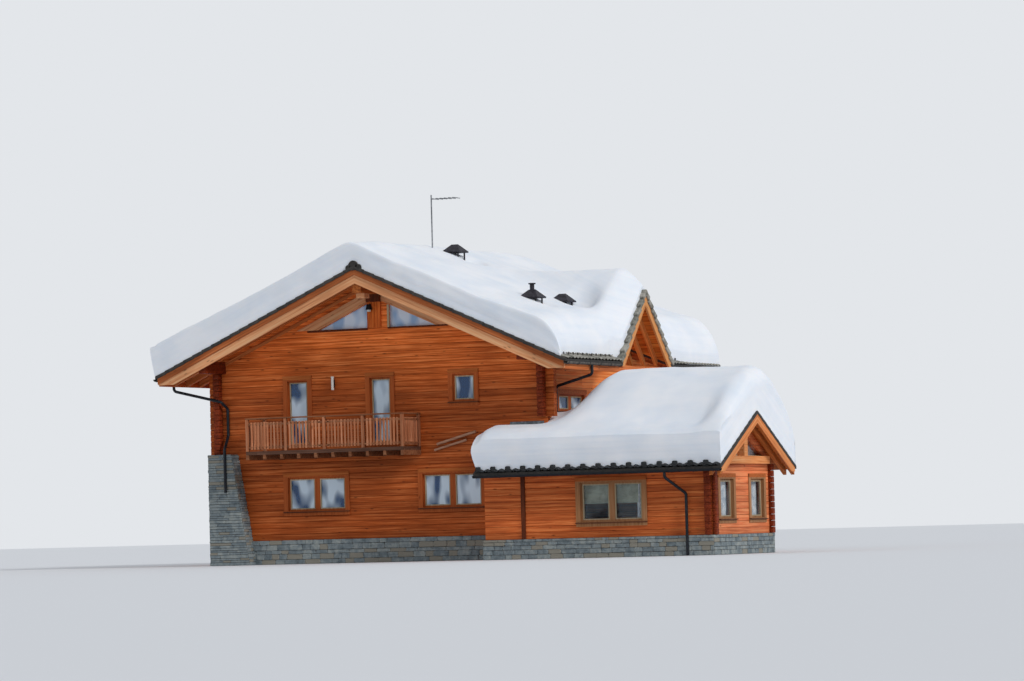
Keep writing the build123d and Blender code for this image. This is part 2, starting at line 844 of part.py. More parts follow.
with BuildPart() as annex_rafters:
    front = annex_ridge_y - annex_roof_half + eave_board_setback
    back = annex_ridge_y + annex_roof_half - eave_board_setback
    lookout = annex_right_verge - barge_thickness
    for x in (annex_right + lookout / 3, annex_right + lookout - rafter_width):
        annex_layer(front, annex_ridge_y, annex_deck_under, annex_deck_under + annex_rafter_drop,
                    x, x + rafter_width)
        annex_layer(annex_ridge_y, back, annex_deck_under, annex_deck_under + annex_rafter_drop,
                    x, x + rafter_width)

with BuildPart() as annex_barge_boards:
    annex_layer(front, annex_ridge_y, tile_layer, tile_layer + lower_barge_drop,
                annex_roof_right - barge_thickness, annex_roof_right - verge_lip)
    annex_layer(annex_ridge_y, back, tile_layer, tile_layer + lower_barge_drop,
                annex_roof_right - barge_thickness, annex_roof_right - verge_lip)
    block(annex_right, annex_roof_right, front, back, 0, annex_eave_z - annex_barge_foot_drop, Mode.SUBTRACT)

with BuildPart() as annex_gable_truss:
    post_half = king_post_width / 2
    face = annex_right
    proud = lookout / 3
    truss_top = annex_deck_under + annex_rafter_drop
    tie_half = (annex_ridge_z - truss_top - tie_beam_foot - tie_beam_height) / annex_slope
    block(face, face + proud, annex_ridge_y - tie_half, annex_ridge_y + tie_half,
          tie_beam_foot, tie_beam_foot + tie_beam_height)
    prism_x(
        (
            (annex_ridge_y - post_half, tie_beam_foot + tie_beam_height),
            (annex_ridge_y + post_half, tie_beam_foot + tie_beam_height),
            (annex_ridge_y + post_half, annex_z(annex_ridge_y + post_half, annex_deck_under)),
            (annex_ridge_y, annex_ridge_z - annex_deck_under),
            (annex_ridge_y - post_half, annex_z(annex_ridge_y + post_half, annex_deck_under)),
        ),
        face, face + proud,
    )

with BuildPart() as annex_window_frames:
    add_frames(annex_front_openings + annex_gable_openings + annex_back_openings)

with BuildPart() as annex_window_glass:
    add_glass(annex_front_openings + annex_gable_openings + annex_back_openings)
    for points in annex_triangles:
        prism_x(points, annex_right - glass_setback - glass_thickness, annex_right - glass_setback)

# Gutters: half-round channels under the tile edges
def gutter_profile(plane, u, v):
    """An open half-round section on a plane, centred at (u, v)."""
    with BuildSketch(plane) as profile:
        with Locations((u, v)):
            Circle(gutter_radius)
            Circle(gutter_radius - gutter_wall, mode=Mode.SUBTRACT)
        with Locations((u, v + gutter_radius / 2)):
            Rectangle(3 * gutter_radius, gutter_radius, mode=Mode.SUBTRACT)
    return profile.sketch


gutter_x = roof_half - eave_board_setback + gutter_radius
gutter_z = main_z(roof_half - eave_board_setback, tile_layer) - gutter_drop / 2
with BuildPart() as main_gutters:
    for side in (-1, 1):
        extrude(gutter_profile(Plane.XZ.offset(-roof_back), side * gutter_x, gutter_z),
                amount=roof_back - roof_front, dir=(0, -1, 0))
    block(roof_half - 4 * gutter_radius, roof_half + 4 * gutter_radius,
          cross_centre - cross_half, cross_centre + cross_half, 0, main_ridge_z, Mode.SUBTRACT)

annex_gutter_y = annex_ridge_y - annex_roof_half + eave_board_setback - gutter_radius
annex_gutter_z = annex_z(annex_ridge_y - annex_roof_half + eave_board_setback, tile_layer) - gutter_drop / 2
with BuildPart() as annex_gutter:
    extrude(gutter_profile(Plane.YZ.offset(annex_roof_left), annex_gutter_y, annex_gutter_z),
            amount=annex_roof_right - annex_roof_left, dir=(1, 0, 0))


def pipe(points):
    """A round pipe with bent corners along the points."""
    with BuildLine() as route:
        FilletPolyline(*points, radius=pipe_bend)
    with BuildSketch(Plane(origin=points[0], z_dir=route.line % 0)) as section:
        Circle(downpipe_radius)
    sweep(section.sketch, path=route.line)


left_pipe_x = buttress_left + buttress_top_width - left_pipe_inset
corner_pipe_x = -half_width + log_wall + pipe_bend
corner_pipe_y = -log_end - downpipe_radius - pipe_gap
wall_pipe_y = -downpipe_radius
buttress_pipe_y = -buttress_depth - downpipe_radius
with BuildPart() as left_downpipe:
    pipe((
        (-gutter_x, corner_pipe_y, gutter_z - gutter_radius),
        (-gutter_x, corner_pipe_y, gutter_z - gutter_radius - pipe_drop),
        (corner_pipe_x, corner_pipe_y, upper_floor_top + left_pipe_corner_rise),
        (left_pipe_x - left_pipe_jog, wall_pipe_y, upper_floor_top + left_pipe_wall_rise),
        (left_pipe_x - left_pipe_jog, wall_pipe_y, buttress_top + left_pipe_step_rise),
        (left_pipe_x, buttress_pipe_y, buttress_top + left_pipe_step_foot),
        (left_pipe_x, buttress_pipe_y, left_pipe_foot),
    ))

right_pipe_x = half_width + downpipe_radius
with BuildPart() as right_downpipe:
    pipe((
        (gutter_x, right_pipe_y - right_pipe_reach, gutter_z - gutter_radius),
        (gutter_x, right_pipe_y - right_pipe_reach, gutter_z - gutter_radius - pipe_drop),
        (right_pipe_x, right_pipe_y, upper_floor_top + right_pipe_wall_rise),
        (right_pipe_x, right_pipe_y, annex_ridge_z + annex_snow_wall_depth),
    ))

annex_pipe_x = annex_right - annex_pipe_inset
annex_pipe_y = annex_front - annex_base_proud - downpipe_radius
with BuildPart() as annex_downpipe:
    pipe((
        (annex_pipe_x - annex_pipe_offset, annex_gutter_y, annex_gutter_z - gutter_radius),
        (annex_pipe_x - annex_pipe_offset, annex_gutter_y, annex_gutter_z - gutter_radius - pipe_drop / 2),
        (annex_pipe_x, annex_pipe_y, annex_pipe_bend_z),
        (annex_pipe_x, annex_pipe_y, 0),
    ))

# Chimneys on the right slope
with BuildPart() as chimney_shafts:
    for x, y, top in chimney_places:
        half = chimney_shaft / 2
        block(x - half, x + half, y - half, y + half, main_z(x) - chimney_shaft, top)
    under_main_roof(0)

with BuildPart() as chimney_caps:
    for x, y, top in chimney_places:
        reach = chimney_shaft / 2
        for dx in (-1, 1):
            for dy in (-1, 1):
                x0, x1 = sorted((x + dx * reach, x + dx * (reach - chimney_leg)))
                y0, y1 = sorted((y + dy * reach, y + dy * (reach - chimney_leg)))
                block(x0, x1, y0, y1, top, top + chimney_leg_height)
        plate = top + chimney_leg_height
        half = chimney_cap / 2
        block(x - half, x + half, y - half, y + half, plate, plate + chimney_cap_lip)
        with BuildSketch(Plane.XY.offset(plate + chimney_cap_lip)) as eave_edge:
            with Locations((x, y)):
                Rectangle(chimney_cap, chimney_cap)
        with BuildSketch(Plane.XY.offset(plate + chimney_cap_lip + chimney_cap_rise)) as top_edge:
            with Locations((x, y)):
                Rectangle(cap_ridge_length, cap_ridge_width)
        loft([eave_edge.sketch.face(), top_edge.sketch.face()], ruled=True)
    cowl_x, cowl_y, cowl_base = chimney_places[1]
    cowl_foot = cowl_base + chimney_leg_height + chimney_cap_lip + chimney_cap_rise / 2
    cowl_length = cowl_height + chimney_cap_rise / 2
    upright = (Align.CENTER, Align.CENTER, Align.MIN)
    with Locations((cowl_x, cowl_y, cowl_foot)):
        Cylinder(cowl_radius, cowl_length, align=upright)
    with Locations((cowl_x, cowl_y, cowl_foot + cowl_length)):
        Cylinder(cowl_rim_radius, cowl_height / 4, align=upright)

mast_x = chimney_places[0][0] - chimney_shaft / 2 - mast_gap
mast_y = chimney_places[0][1] - chimney_shaft / 2 - mast_gap
with BuildPart() as antenna:
    mast_foot = main_z(mast_x)
    with Locations((mast_x, mast_y, mast_foot)):
        Cylinder(mast_radius, mast_top - mast_foot, align=upright)
    boom_z = mast_top - boom_drop
    block(mast_x - boom_radius, mast_x + boom_length, mast_y - boom_radius, mast_y + boom_radius,
          boom_z, boom_z + 2 * boom_radius)
    for step in range(antenna_rods):
        x = mast_x + boom_length * (step + 1) / antenna_rods - boom_radius
        half = antenna_rod_length / 2
        block(x - boom_radius, x + boom_radius, mast_y - half, mast_y + half,
              boom_z, boom_z + 2 * boom_radius)
    under_main_roof(0)

# Roof snow
def melt_pockets():
    """Clear the snow around each chimney and the mast."""
    half = chimney_cap / 2 + melt_gap
    for x, y, top in chimney_places:
        block(x - half, x + half, y - half, y + half, main_z(x) - chimney_cap, main_ridge_z + 2 * snow_ridge,
              Mode.SUBTRACT)
    block(mast_x - mast_radius, mast_x + mast_radius, mast_y - mast_radius, mast_y + mast_radius,
          main_z(mast_x) - chimney_cap, main_ridge_z + 2 * snow_ridge, Mode.SUBTRACT)


def snow_outline(drift):
    """The main roof snow's (x, z) profile, with a drift on top of its right slope."""
    left_x, right_x = roof_half + snow_left_lip, roof_half - snow_right_setback
    shoulder_x, round_x = right_x - snow_shoulder, right_x - snow_shoulder / 4
    return (
        (-roof_half, main_z(roof_half)),
        (-roof_half - snow_left_lip / 2, main_z(roof_half) + snow_left_eave / 3),
        (-left_x, main_z(left_x) + snow_left_eave),
        (-snow_shoulder / 2, main_z(snow_shoulder / 2) + snow_ridge),
        (0, main_z(0) + snow_ridge - snow_shoulder * main_slope / 6),
        (snow_shoulder / 2, main_z(snow_shoulder / 2) + snow_ridge),
        (shoulder_x, main_z(shoulder_x) + snow_right_eave + drift),
        (round_x, main_z(round_x) + (snow_right_eave + drift) * snow_round_share),
        (right_x, main_z(right_x) + snow_right_eave / 3),
        (right_x, main_z(right_x)),
        (0, main_z(0)),
    )


with BuildPart() as main_roof_snow:
    back_y = roof_back - snow_gable_setback
    prism_y(snow_outline(0), roof_front + snow_gable_setback, cross_centre)
    sections = []
    for y, drift in ((cross_centre, 0), (back_y, snow_back_drift)):
        with BuildSketch(Plane.XZ.offset(-y)) as section:
            with BuildLine():
                Polyline(*snow_outline(drift), close=True)
            make_face()
        sections.append(section.sketch.face())
    loft(sections, ruled=True)
    add(ridge_cap.part, mode=Mode.SUBTRACT)
    cross_core(0, cross_start - side_overhang, cross_face + side_overhang)
    melt_pockets()


def drift_outline(share):
    """The (y, z) profile of the drift over the cross gable, at a share of its depth."""
    half = cross_half - snow_gable_setback
    top = []
    for dy, depth in ((half, cross_snow_side_depth), (cross_crest_half, cross_snow_depth),
                      (0, cross_snow_depth - cross_crest_sink), (-cross_crest_half, cross_snow_depth),
                      (-half, cross_snow_side_depth)):
        y = cross_centre + dy
        top.append((y, cross_z(y) + depth * share))
    y0, y1 = cross_centre - half, cross_centre + half
    return ((y0, cross_z(y0)), (cross_centre, cross_ridge_z), (y1, cross_z(y1)), *top)


with BuildPart() as cross_gable_snow:
    verge_x = roof_half - snow_gable_setback
    crest_end_x = verge_x - cross_snow_round
    prism_x(drift_outline(1), cross_start - side_overhang, crest_end_x)
    sections = []
    for x, share in ((crest_end_x, 1), (verge_x, cross_snow_verge_depth / cross_snow_depth)):
        with BuildSketch(Plane.YZ.offset(x)) as section:
            with BuildLine():
                Polyline(*drift_outline(share), close=True)
            make_face()
        sections.append(section.sketch.face())
    loft(sections, ruled=True)
    under_main_roof(0)
    add(main_roof_snow.part, mode=Mode.SUBTRACT)
    melt_pockets()

annex_snow_front_y = annex_ridge_y - annex_roof_half
annex_snow_back_y = annex_ridge_y + annex_roof_half
with BuildPart() as annex_roof_snow:
    prism_x(
        (
            (annex_snow_front_y, annex_z(annex_snow_front_y)),
            (annex_snow_front_y, annex_z(annex_snow_front_y) + annex_snow_front),
            (0, annex_z(0) + annex_snow_wall_depth),
            (0, annex_z(0)),
        ),
        annex_roof_left, half_width,
    )
    low = (
        (annex_snow_front_y, annex_z(annex_snow_front_y)),
        (annex_snow_front_y, annex_z(annex_snow_front_y) + annex_snow_front),
        (0, annex_z(0) + annex_snow_wall_depth),
        (annex_ridge_y, annex_ridge_z + annex_snow_wall_depth),
        (annex_snow_back_y, annex_z(annex_snow_back_y) + annex_snow_wall_depth),
        (annex_snow_back_y, annex_z(annex_snow_back_y)),
        (annex_ridge_y, annex_ridge_z),
    )
    full = (
        (annex_snow_front_y, annex_z(annex_snow_front_y)),
        (annex_snow_front_y, annex_z(annex_snow_front_y) + annex_snow_front),
        (0, annex_z(0) + annex_snow_ridge),
        (annex_ridge_y, annex_ridge_z + annex_snow_ridge),
        (annex_snow_back_y, annex_z(annex_snow_back_y) + annex_snow_front),
        (annex_snow_back_y, annex_z(annex_snow_back_y)),
        (annex_ridge_y, annex_ridge_z),
    )
    sections = []
    for x, outline in ((half_width, low), (half_width + annex_snow_flat, full)):
        with BuildSketch(Plane.YZ.offset(x)) as section:
            with BuildLine():
                Polyline(*outline, close=True)
            make_face()
        sections.append(section.sketch.face())
    loft(sections, ruled=True)
    prism_x(full, half_width + annex_snow_flat, annex_roof_right)
    add(corner_log_ends.part, mode=Mode.SUBTRACT)
    add(front_wall_upper.part, mode=Mode.SUBTRACT)

pieces = {
    "main_plinth": main_plinth,
    "ground_floor": ground_floor,
    "upper_floor": upper_floor,
    "corner_buttress": corner_buttress,
    "front_wall_ground": front_wall_ground,
    "front_wall_upper": front_wall_upper,
    "back_wall_ground": back_wall_ground,
    "back_wall_upper": back_wall_upper,
    "left_wall": left_wall,
    "right_wall": right_wall,
    "corner_log_ends": corner_log_ends,
    "rafters": rafters,
    "ridge_purlin": ridge_purlin,
    "eave_plates": eave_plates,
    "roof_deck": roof_deck,
    "lower_barge_boards": lower_barge_boards,
    "upper_barge_boards": upper_barge_boards,
    "roof_tiles_left": roof_tiles_left,
    "roof_tiles_right": roof_tiles_right,
    "ridge_cap": ridge_cap,
    "cross_gable_wall": cross_gable_wall,
    "cross_gable_deck": cross_gable_deck,
    "cross_gable_tiles": cross_gable_tiles,
    "cross_gable_rafters": cross_gable_rafters,
    "cross_gable_barge": cross_gable_barge,
    "balcony_deck": balcony_deck_boards,
    "balcony_joists": balcony_joists,
    "balcony_railing": balcony_railing,
    "balcony_railing_ends": balcony_railing_ends,
    "front_window_frames": front_window_frames,
    "front_window_glass": front_window_glass,
    "gable_glass": gable_glass,
    "gable_king_post": gable_king_post,
    "side_and_back_window_frames": side_and_back_window_frames,
    "side_and_back_window_glass": side_and_back_window_glass,
    "annex_base": annex_base,
    "annex_floor": annex_floor,
    "annex_front_wall": annex_front_wall,
    "annex_back_wall": annex_back_wall,
    "annex_left_wall": annex_left_wall,
    "annex_gable_wall": annex_gable_wall,
    "annex_roof_deck": annex_roof_deck,
    "annex_roof_tiles": annex_roof_tiles,
    "annex_rafters": annex_rafters,
    "annex_barge_boards": annex_barge_boards,
    "annex_gable_truss": annex_gable_truss,
    "annex_window_frames": annex_window_frames,
    "annex_window_glass": annex_window_glass,
    "main_gutters": main_gutters,
    "annex_gutter": annex_gutter,
    "left_downpipe": left_downpipe,
    "right_downpipe": right_downpipe,
    "annex_downpipe": annex_downpipe,
    "chimney_shafts": chimney_shafts,
    "chimney_caps": chimney_caps,
    "antenna": antenna,
    "main_roof_snow": main_roof_snow,
    "cross_gable_snow": cross_gable_snow,
    "annex_roof_snow": annex_roof_snow,
}

for name, piece in pieces.items():
    piece.part.label = name
    export_step(piece.part, f"parts/{name}.step")
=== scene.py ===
"""An alpine log chalet dressed with logs, tiles, stone, glazing, curtains and deep roof snow.

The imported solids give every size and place. Lengths are in metres, with X to the right of the
main gable, Y to the back and Z up.
"""
import logging
import math
import random
from collections.abc import Callable, Iterator, Sequence
from contextlib import contextmanager
from dataclasses import dataclass
from enum import Enum

import bmesh
import bpy
import numpy as np
from mathutils import Matrix, Vector, noise


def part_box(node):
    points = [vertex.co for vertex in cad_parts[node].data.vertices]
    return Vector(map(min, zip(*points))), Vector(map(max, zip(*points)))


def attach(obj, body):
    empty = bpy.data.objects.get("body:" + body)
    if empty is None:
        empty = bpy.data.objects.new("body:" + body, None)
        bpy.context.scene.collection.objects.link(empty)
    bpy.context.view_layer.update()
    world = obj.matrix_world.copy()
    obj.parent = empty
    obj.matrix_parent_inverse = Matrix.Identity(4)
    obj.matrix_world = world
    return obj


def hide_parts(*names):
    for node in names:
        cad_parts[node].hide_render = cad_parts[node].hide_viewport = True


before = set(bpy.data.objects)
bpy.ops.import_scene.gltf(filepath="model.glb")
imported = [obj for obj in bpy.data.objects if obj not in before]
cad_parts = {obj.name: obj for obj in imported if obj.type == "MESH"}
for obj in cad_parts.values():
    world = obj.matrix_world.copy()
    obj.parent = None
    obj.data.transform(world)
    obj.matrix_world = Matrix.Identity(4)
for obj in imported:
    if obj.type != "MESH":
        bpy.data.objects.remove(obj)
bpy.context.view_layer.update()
LOG = logging.getLogger("chalet")

Piece = bpy.types.Object
Tree = bpy.types.NodeTree
Node = bpy.types.Node
Socket = bpy.types.NodeSocket
Range = tuple[float, float]

MM = 0.001


class Axis(Enum):
    """A direction of the frame."""

    X = 0
    Y = 1
    Z = 2


@dataclass(frozen=True)
class Gable:
    """A gabled roof's tile surface."""

    across: Axis
    centre: float
    ridge: float
    slope: float

    def height(self, place: float) -> float:
        """Height of the tile surface at a place across the ridge."""
        return self.ridge - abs(place - self.centre) * self.slope


def gable_roof(node: str, across: Axis, centre: float, half: float, layer: float) -> Gable:
    """Read a roof's ridge and slope from its tile node.

    Args:
        node: The tile node's name.
        across: The axis across the ridge.
        centre: Where the ridge stands on that axis.
        half: The roof's half width.
        layer: The tile layer's thickness, measured straight down.

    Returns:
        The roof's tile surface.
    """
    low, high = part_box(node)
    return Gable(across, centre, high[2], (high[2] - low[2] - layer) / half)


TILE_LAYER = 90 * MM
TILES_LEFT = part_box("roof_tiles_left")
ROOF_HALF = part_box("roof_tiles_right")[1][0]
ROOF_FRONT, ROOF_BACK = TILES_LEFT[0][1], TILES_LEFT[1][1]
MAIN = gable_roof("roof_tiles_left", Axis.X, 0.0, ROOF_HALF, TILE_LAYER)

ANNEX_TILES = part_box("annex_roof_tiles")
ANNEX_RIDGE_Y = (ANNEX_TILES[0][1] + ANNEX_TILES[1][1]) / 2
ANNEX_HALF = (ANNEX_TILES[1][1] - ANNEX_TILES[0][1]) / 2
ANNEX = gable_roof("annex_roof_tiles", Axis.Y, ANNEX_RIDGE_Y, ANNEX_HALF, TILE_LAYER)

CROSS_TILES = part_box("cross_gable_tiles")
CROSS_CENTRE = (CROSS_TILES[0][1] + CROSS_TILES[1][1]) / 2
CROSS_HALF = (CROSS_TILES[1][1] - CROSS_TILES[0][1]) / 2
CROSS_SLOPE = 1.15
CROSS = Gable(Axis.Y, CROSS_CENTRE, CROSS_TILES[1][2], CROSS_SLOPE)
CROSS_FACE = CROSS_TILES[1][0]

HALF_WIDTH = -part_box("left_wall")[0][0]
MAIN_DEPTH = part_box("back_wall_upper")[1][1]
PLINTH_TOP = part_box("main_plinth")[1][2]
UPPER_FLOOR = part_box("upper_floor")[1][2]
ANNEX_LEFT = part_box("annex_left_wall")[0][0]
ANNEX_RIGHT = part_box("annex_gable_wall")[1][0]
ANNEX_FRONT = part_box("annex_front_wall")[0][1]
ANNEX_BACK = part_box("annex_back_wall")[1][1]
ANNEX_BASE_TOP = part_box("annex_base")[1][2]

STOREY_COURSES = 15
LOG_COURSE = (UPPER_FLOOR - PLINTH_TOP) / STOREY_COURSES
ANNEX_COURSE = 190 * MM


def linear(code: str) -> tuple[float, float, float, float]:
    """Turn an sRGB hex value, #RRGGBB, into a linear colour with an alpha of 1."""
    parts = [int(code[place:place + 2], 16) / 255 for place in (1, 3, 5)]
    red, green, blue = (p / 12.92 if p <= 0.04045 else ((p + 0.055) / 1.055) ** 2.4 for p in parts)
    return red, green, blue, 1.0


def add_node(tree: Tree, kind: str, inputs: dict | None = None, **settings) -> Node:
    """Add a shader node with its settings and links.

    Args:
        tree: The material's node tree.
        kind: The node's type name.
        inputs: Values or sockets for its inputs, by name or number.
        settings: Values for its own properties.

    Returns:
        The new node.
    """
    node = tree.nodes.new(kind)
    for name, value in settings.items():
        setattr(node, name, value)
    for key, value in (inputs or {}).items():
        if isinstance(value, Socket):
            tree.links.new(value, node.inputs[key])
        else:
            node.inputs[key].default_value = value
    return node


def maths(tree: Tree, operation: str, *values: Socket | float) -> Socket:
    """Work out a number from sockets and plain numbers."""
    return add_node(tree, "ShaderNodeMath", dict(enumerate(values)), operation=operation).outputs[0]


def vectors(tree: Tree, operation: str, inputs: dict) -> Socket:
    """Work out a vector from sockets and plain vectors."""
    return add_node(tree, "ShaderNodeVectorMath", inputs, operation=operation).outputs[0]


def clouds(tree: Tree, place: Socket, scale: float, detail: float, roughness: float = 0.5) -> Socket:
    """Cloudy noise over a surface."""
    return add_node(tree, "ShaderNodeTexNoise", {"Vector": place, "Scale": scale, "Detail": detail,
                                                 "Roughness": roughness}).outputs["Fac"]


def stretched(tree: Tree, place: Socket, scale: Sequence[float], turn: Sequence[float] = (0, 0, 0)) -> Socket:
    """Scale the coordinates of a surface, and turn them where asked."""
    inputs = {"Vector": place, "Rotation": turn, "Scale": scale}
    return add_node(tree, "ShaderNodeMapping", inputs).outputs[0]


def mapped(tree: Tree, value: Socket, source: Range, target: Range = (0.0, 1.0)) -> Socket:
    """Map a number from one range to another and keep it inside."""
    inputs = {"Value": value, "From Min": source[0], "From Max": source[1],
              "To Min": target[0], "To Max": target[1]}
    return add_node(tree, "ShaderNodeMapRange", inputs).outputs[0]


def mixed_colour(tree: Tree, factor: Socket, first: Socket | Sequence, second: Socket | Sequence) -> Socket:
    """Mix two colours."""
    return add_node(tree, "ShaderNodeMix", {0: factor, 6: first, 7: second}, data_type="RGBA").outputs[2]


def object_place(tree: Tree) -> Socket:
    """The Object coordinates, which are metres of the chalet's frame."""
    return add_node(tree, "ShaderNodeTexCoord").outputs["Object"]


def own_tone(tree: Tree) -> Socket:
    """The number between 0 and 1 that each laid copy has of its own."""
    return add_node(tree, "ShaderNodeAttribute", attribute_name="tone").outputs["Fac"]


def off_ridge(tree: Tree, split: Node, roof: Gable) -> tuple[Socket, Socket]:
    """How far a point lies from a roof's ridge, and how high it would lie if the slope were level."""
    shifted = maths(tree, "SUBTRACT", split.outputs[roof.across.value], roof.centre)
    spread = maths(tree, "ABSOLUTE", shifted)
    return spread, maths(tree, "MULTIPLY_ADD", spread, roof.slope, split.outputs[2])


def ramp(tree: Tree, factor: Socket, stops: Sequence[tuple[float, str]]) -> Socket:
    """Colour a factor by a row of stops, each with its place and its sRGB hex colour."""
    node = add_node(tree, "ShaderNodeValToRGB", {"Fac": factor})
    elements = node.color_ramp.elements
    while len(elements) < len(stops):
        elements.new(0.5)
    for element, (place, code) in zip(elements, stops):
        element.position = place
        element.color = linear(code)
    return node.outputs["Color"]


def coat(tree: Tree, shader: Node, colour: Socket, values: dict, height: Socket | None = None,
         strength: float = 0.0, relief: float = 0.0) -> None:
    """Give the shader its colour, its relief and its plain values.

    Args:
        tree: The material's node tree.
        shader: The surface shader.
        colour: The colour socket.
        values: Plain values by the name of the shader's socket.
        height: The socket of the relief, where there is one.
        strength: The share of the relief that shows.
        relief: The relief's height.
    """
    tree.links.new(colour, shader.inputs["Base Color"])
    if height is not None:
        bump = add_node(tree, "ShaderNodeBump", {"Height": height, "Strength": strength, "Distance": relief})
        tree.links.new(bump.outputs[0], shader.inputs["Normal"])
    for name, value in values.items():
        shader.inputs[name].default_value = value


@dataclass(frozen=True)
class Finish:
    """A surface finish that makes its material once and keeps it under its name."""

    name: str

    def material(self) -> bpy.types.Material:
        """The finish's material, made on first use."""
        known = bpy.data.materials.get(self.name)
        if known:
            return known
        made = bpy.data.materials.new(self.name)
        made.use_nodes = True
        self.paint(made.node_tree, made.node_tree.nodes["Principled BSDF"])
        return made

    def paint(self, tree: Tree, shader: Node) -> None:
        """Add the finish's own nodes."""
        raise NotImplementedError


@dataclass(frozen=True)
class Larch(Finish):
    """Planed larch under a translucent oil stain: streaks along the grain and one tone a board."""

    tones: tuple = ("#783410", "#AC5120", "#D97D45")
    grain: Axis = Axis.X
    stack: Axis = Axis.Z
    board: float = LOG_COURSE
    foot: float = 0.0
    board_length: float = 4.1
    joint: float = 8 * MM
    joint_shade: float = 0.62
    tone_range: float = 0.2
    fold: Gable | None = None
    streak_width: float = 52 * MM
    streak_length: float = 1500 * MM
    fibre_width: float = 9 * MM
    fibre_length: float = 260 * MM
    fibre_share: float = 0.16
    knot_pitch: float = 550 * MM
    knot_spread: float = 190 * MM
    knot_shade: float = 0.45
    # Painted light: above this height the colour is multiplied paler, standing in for the stronger light high on
    # the gable
    painted_light_from: float = 100.0
    painted_light_reach: float = 1.4
    painted_light_tint: tuple = (2.0, 2.15, 2.1, 1.0)
    weather_scale: float = 0.45
    weather: tuple = (0.78, 1.22)
    roughness: float = 0.58
    shine: float = 0.12

    def place(self, tree: Tree) -> Socket:
        """The coordinates, folded so that both slopes of a roof read as one flat sheet."""
        place = object_place(tree)
        if self.fold is None:
            return place
        split = add_node(tree, "ShaderNodeSeparateXYZ", {0: place})
        spread, raised = off_ridge(tree, split, self.fold)
        parts = [split.outputs[0], split.outputs[1], raised]
        parts[self.fold.across.value] = spread
        return add_node(tree, "ShaderNodeCombineXYZ", dict(enumerate(parts))).outputs[0]

    def scaled(self, tree: Tree, place: Socket, along: float, over: float, deep: float) -> Socket:
        """Stretch the coordinates to a length along the grain, across the boards and into them."""
        scale = [1 / deep] * 3
        scale[self.stack.value] = 1 / over
        scale[self.grain.value] = 1 / along
        return stretched(tree, place, scale)

    def streaks(self, tree: Tree, place: Socket, own: Socket) -> Socket:
        """Broad streaks of dark and light summer wood with fine fibres over them."""
        wide = self.scaled(tree, place, self.streak_length, self.streak_width, self.streak_width)
        streak = clouds(tree, vectors(tree, "ADD", {0: wide, 1: own}), 1.0, 3.0, 0.6)
        fine = self.scaled(tree, place, self.fibre_length, self.fibre_width, self.fibre_width)
        return maths(tree, "MULTIPLY_ADD", clouds(tree, fine, 1.0, 2.0), self.fibre_share, streak)

    def knots(self, tree: Tree, place: Socket, own: Socket) -> Socket:
        """Small dark knots, as a shade."""
        spots = self.scaled(tree, place, self.knot_pitch, self.knot_spread, self.knot_spread)
        spots = vectors(tree, "ADD", {0: spots, 1: own})
        away = add_node(tree, "ShaderNodeTexVoronoi", {"Vector": spots, "Scale": 1.0}).outputs["Distance"]
        return mapped(tree, away, (0.05, 0.16), (self.knot_shade, 1.0))

    def joints(self, tree: Tree, counted: Socket) -> Socket:
        """A dark line where two boards meet, as a shade."""
        inside = vectors(tree, "FRACTION", {0: counted})
        inside = add_node(tree, "ShaderNodeSeparateXYZ", {0: inside}).outputs[self.stack.value]
        edge = maths(tree, "ABSOLUTE", maths(tree, "SUBTRACT", inside, 0.5))
        return mapped(tree, edge, (0.5 - 2 * self.joint / self.board, 0.5), (1.0, self.joint_shade))

    def painted_light_by_height(self, tree: Tree, place: Socket) -> Socket:
        """Painted light by height: how much paler the wood is painted above a height, for the stronger light on
        the upper gable, as a colour to multiply with.
        """
        height = add_node(tree, "ShaderNodeSeparateXYZ", {0: place}).outputs[2]
        share = mapped(tree, height, (self.painted_light_from, self.painted_light_from + self.painted_light_reach))
        return mixed_colour(tree, share, (1.0, 1.0, 1.0, 1.0), self.painted_light_tint)

    def paint(self, tree: Tree, shader: Node) -> None:
        """Streaks, knots, a tone for each board and a dark line at each joint."""
        place = self.place(tree)
        shift = [0.37, 0.37, 0.37]
        shift[self.stack.value] = -self.foot / self.board
        counted = self.scaled(tree, place, self.board_length, self.board, 1000.0)
        counted = vectors(tree, "ADD", {0: counted, 1: shift})
        cell = vectors(tree, "FLOOR", {0: counted})
        toned = add_node(tree, "ShaderNodeTexWhiteNoise", {"Vector": cell, "W": own_tone(tree)},
                         noise_dimensions="4D")
        own = vectors(tree, "SCALE", {0: toned.outputs["Color"], "Scale": 23.0})
        grain = self.streaks(tree, place, own)
        colour = ramp(tree, grain, tuple(zip((0.3, 0.57, 0.88), self.tones)))
        tone = mapped(tree, toned.outputs["Value"], (0.0, 1.0), (1 - self.tone_range, 1 + self.tone_range * 0.6))
        wide = mapped(tree, clouds(tree, place, self.weather_scale, 2.0), (0.3, 0.7), self.weather)
        shade = maths(tree, "MULTIPLY", self.joints(tree, counted), tone)
        for other in (self.knots(tree, place, own), wide):
            shade = maths(tree, "MULTIPLY", shade, other)
        shaded = vectors(tree, "SCALE", {0: colour, "Scale": shade})
        # painted light: the colour is multiplied paler above a height
        shaded = vectors(tree, "MULTIPLY", {0: shaded, 1: self.painted_light_by_height(tree, place)})
        values = {"Roughness": self.roughness, "Specular IOR Level": self.shine}
        coat(tree, shader, shaded, values, grain, 0.5, 3 * MM)


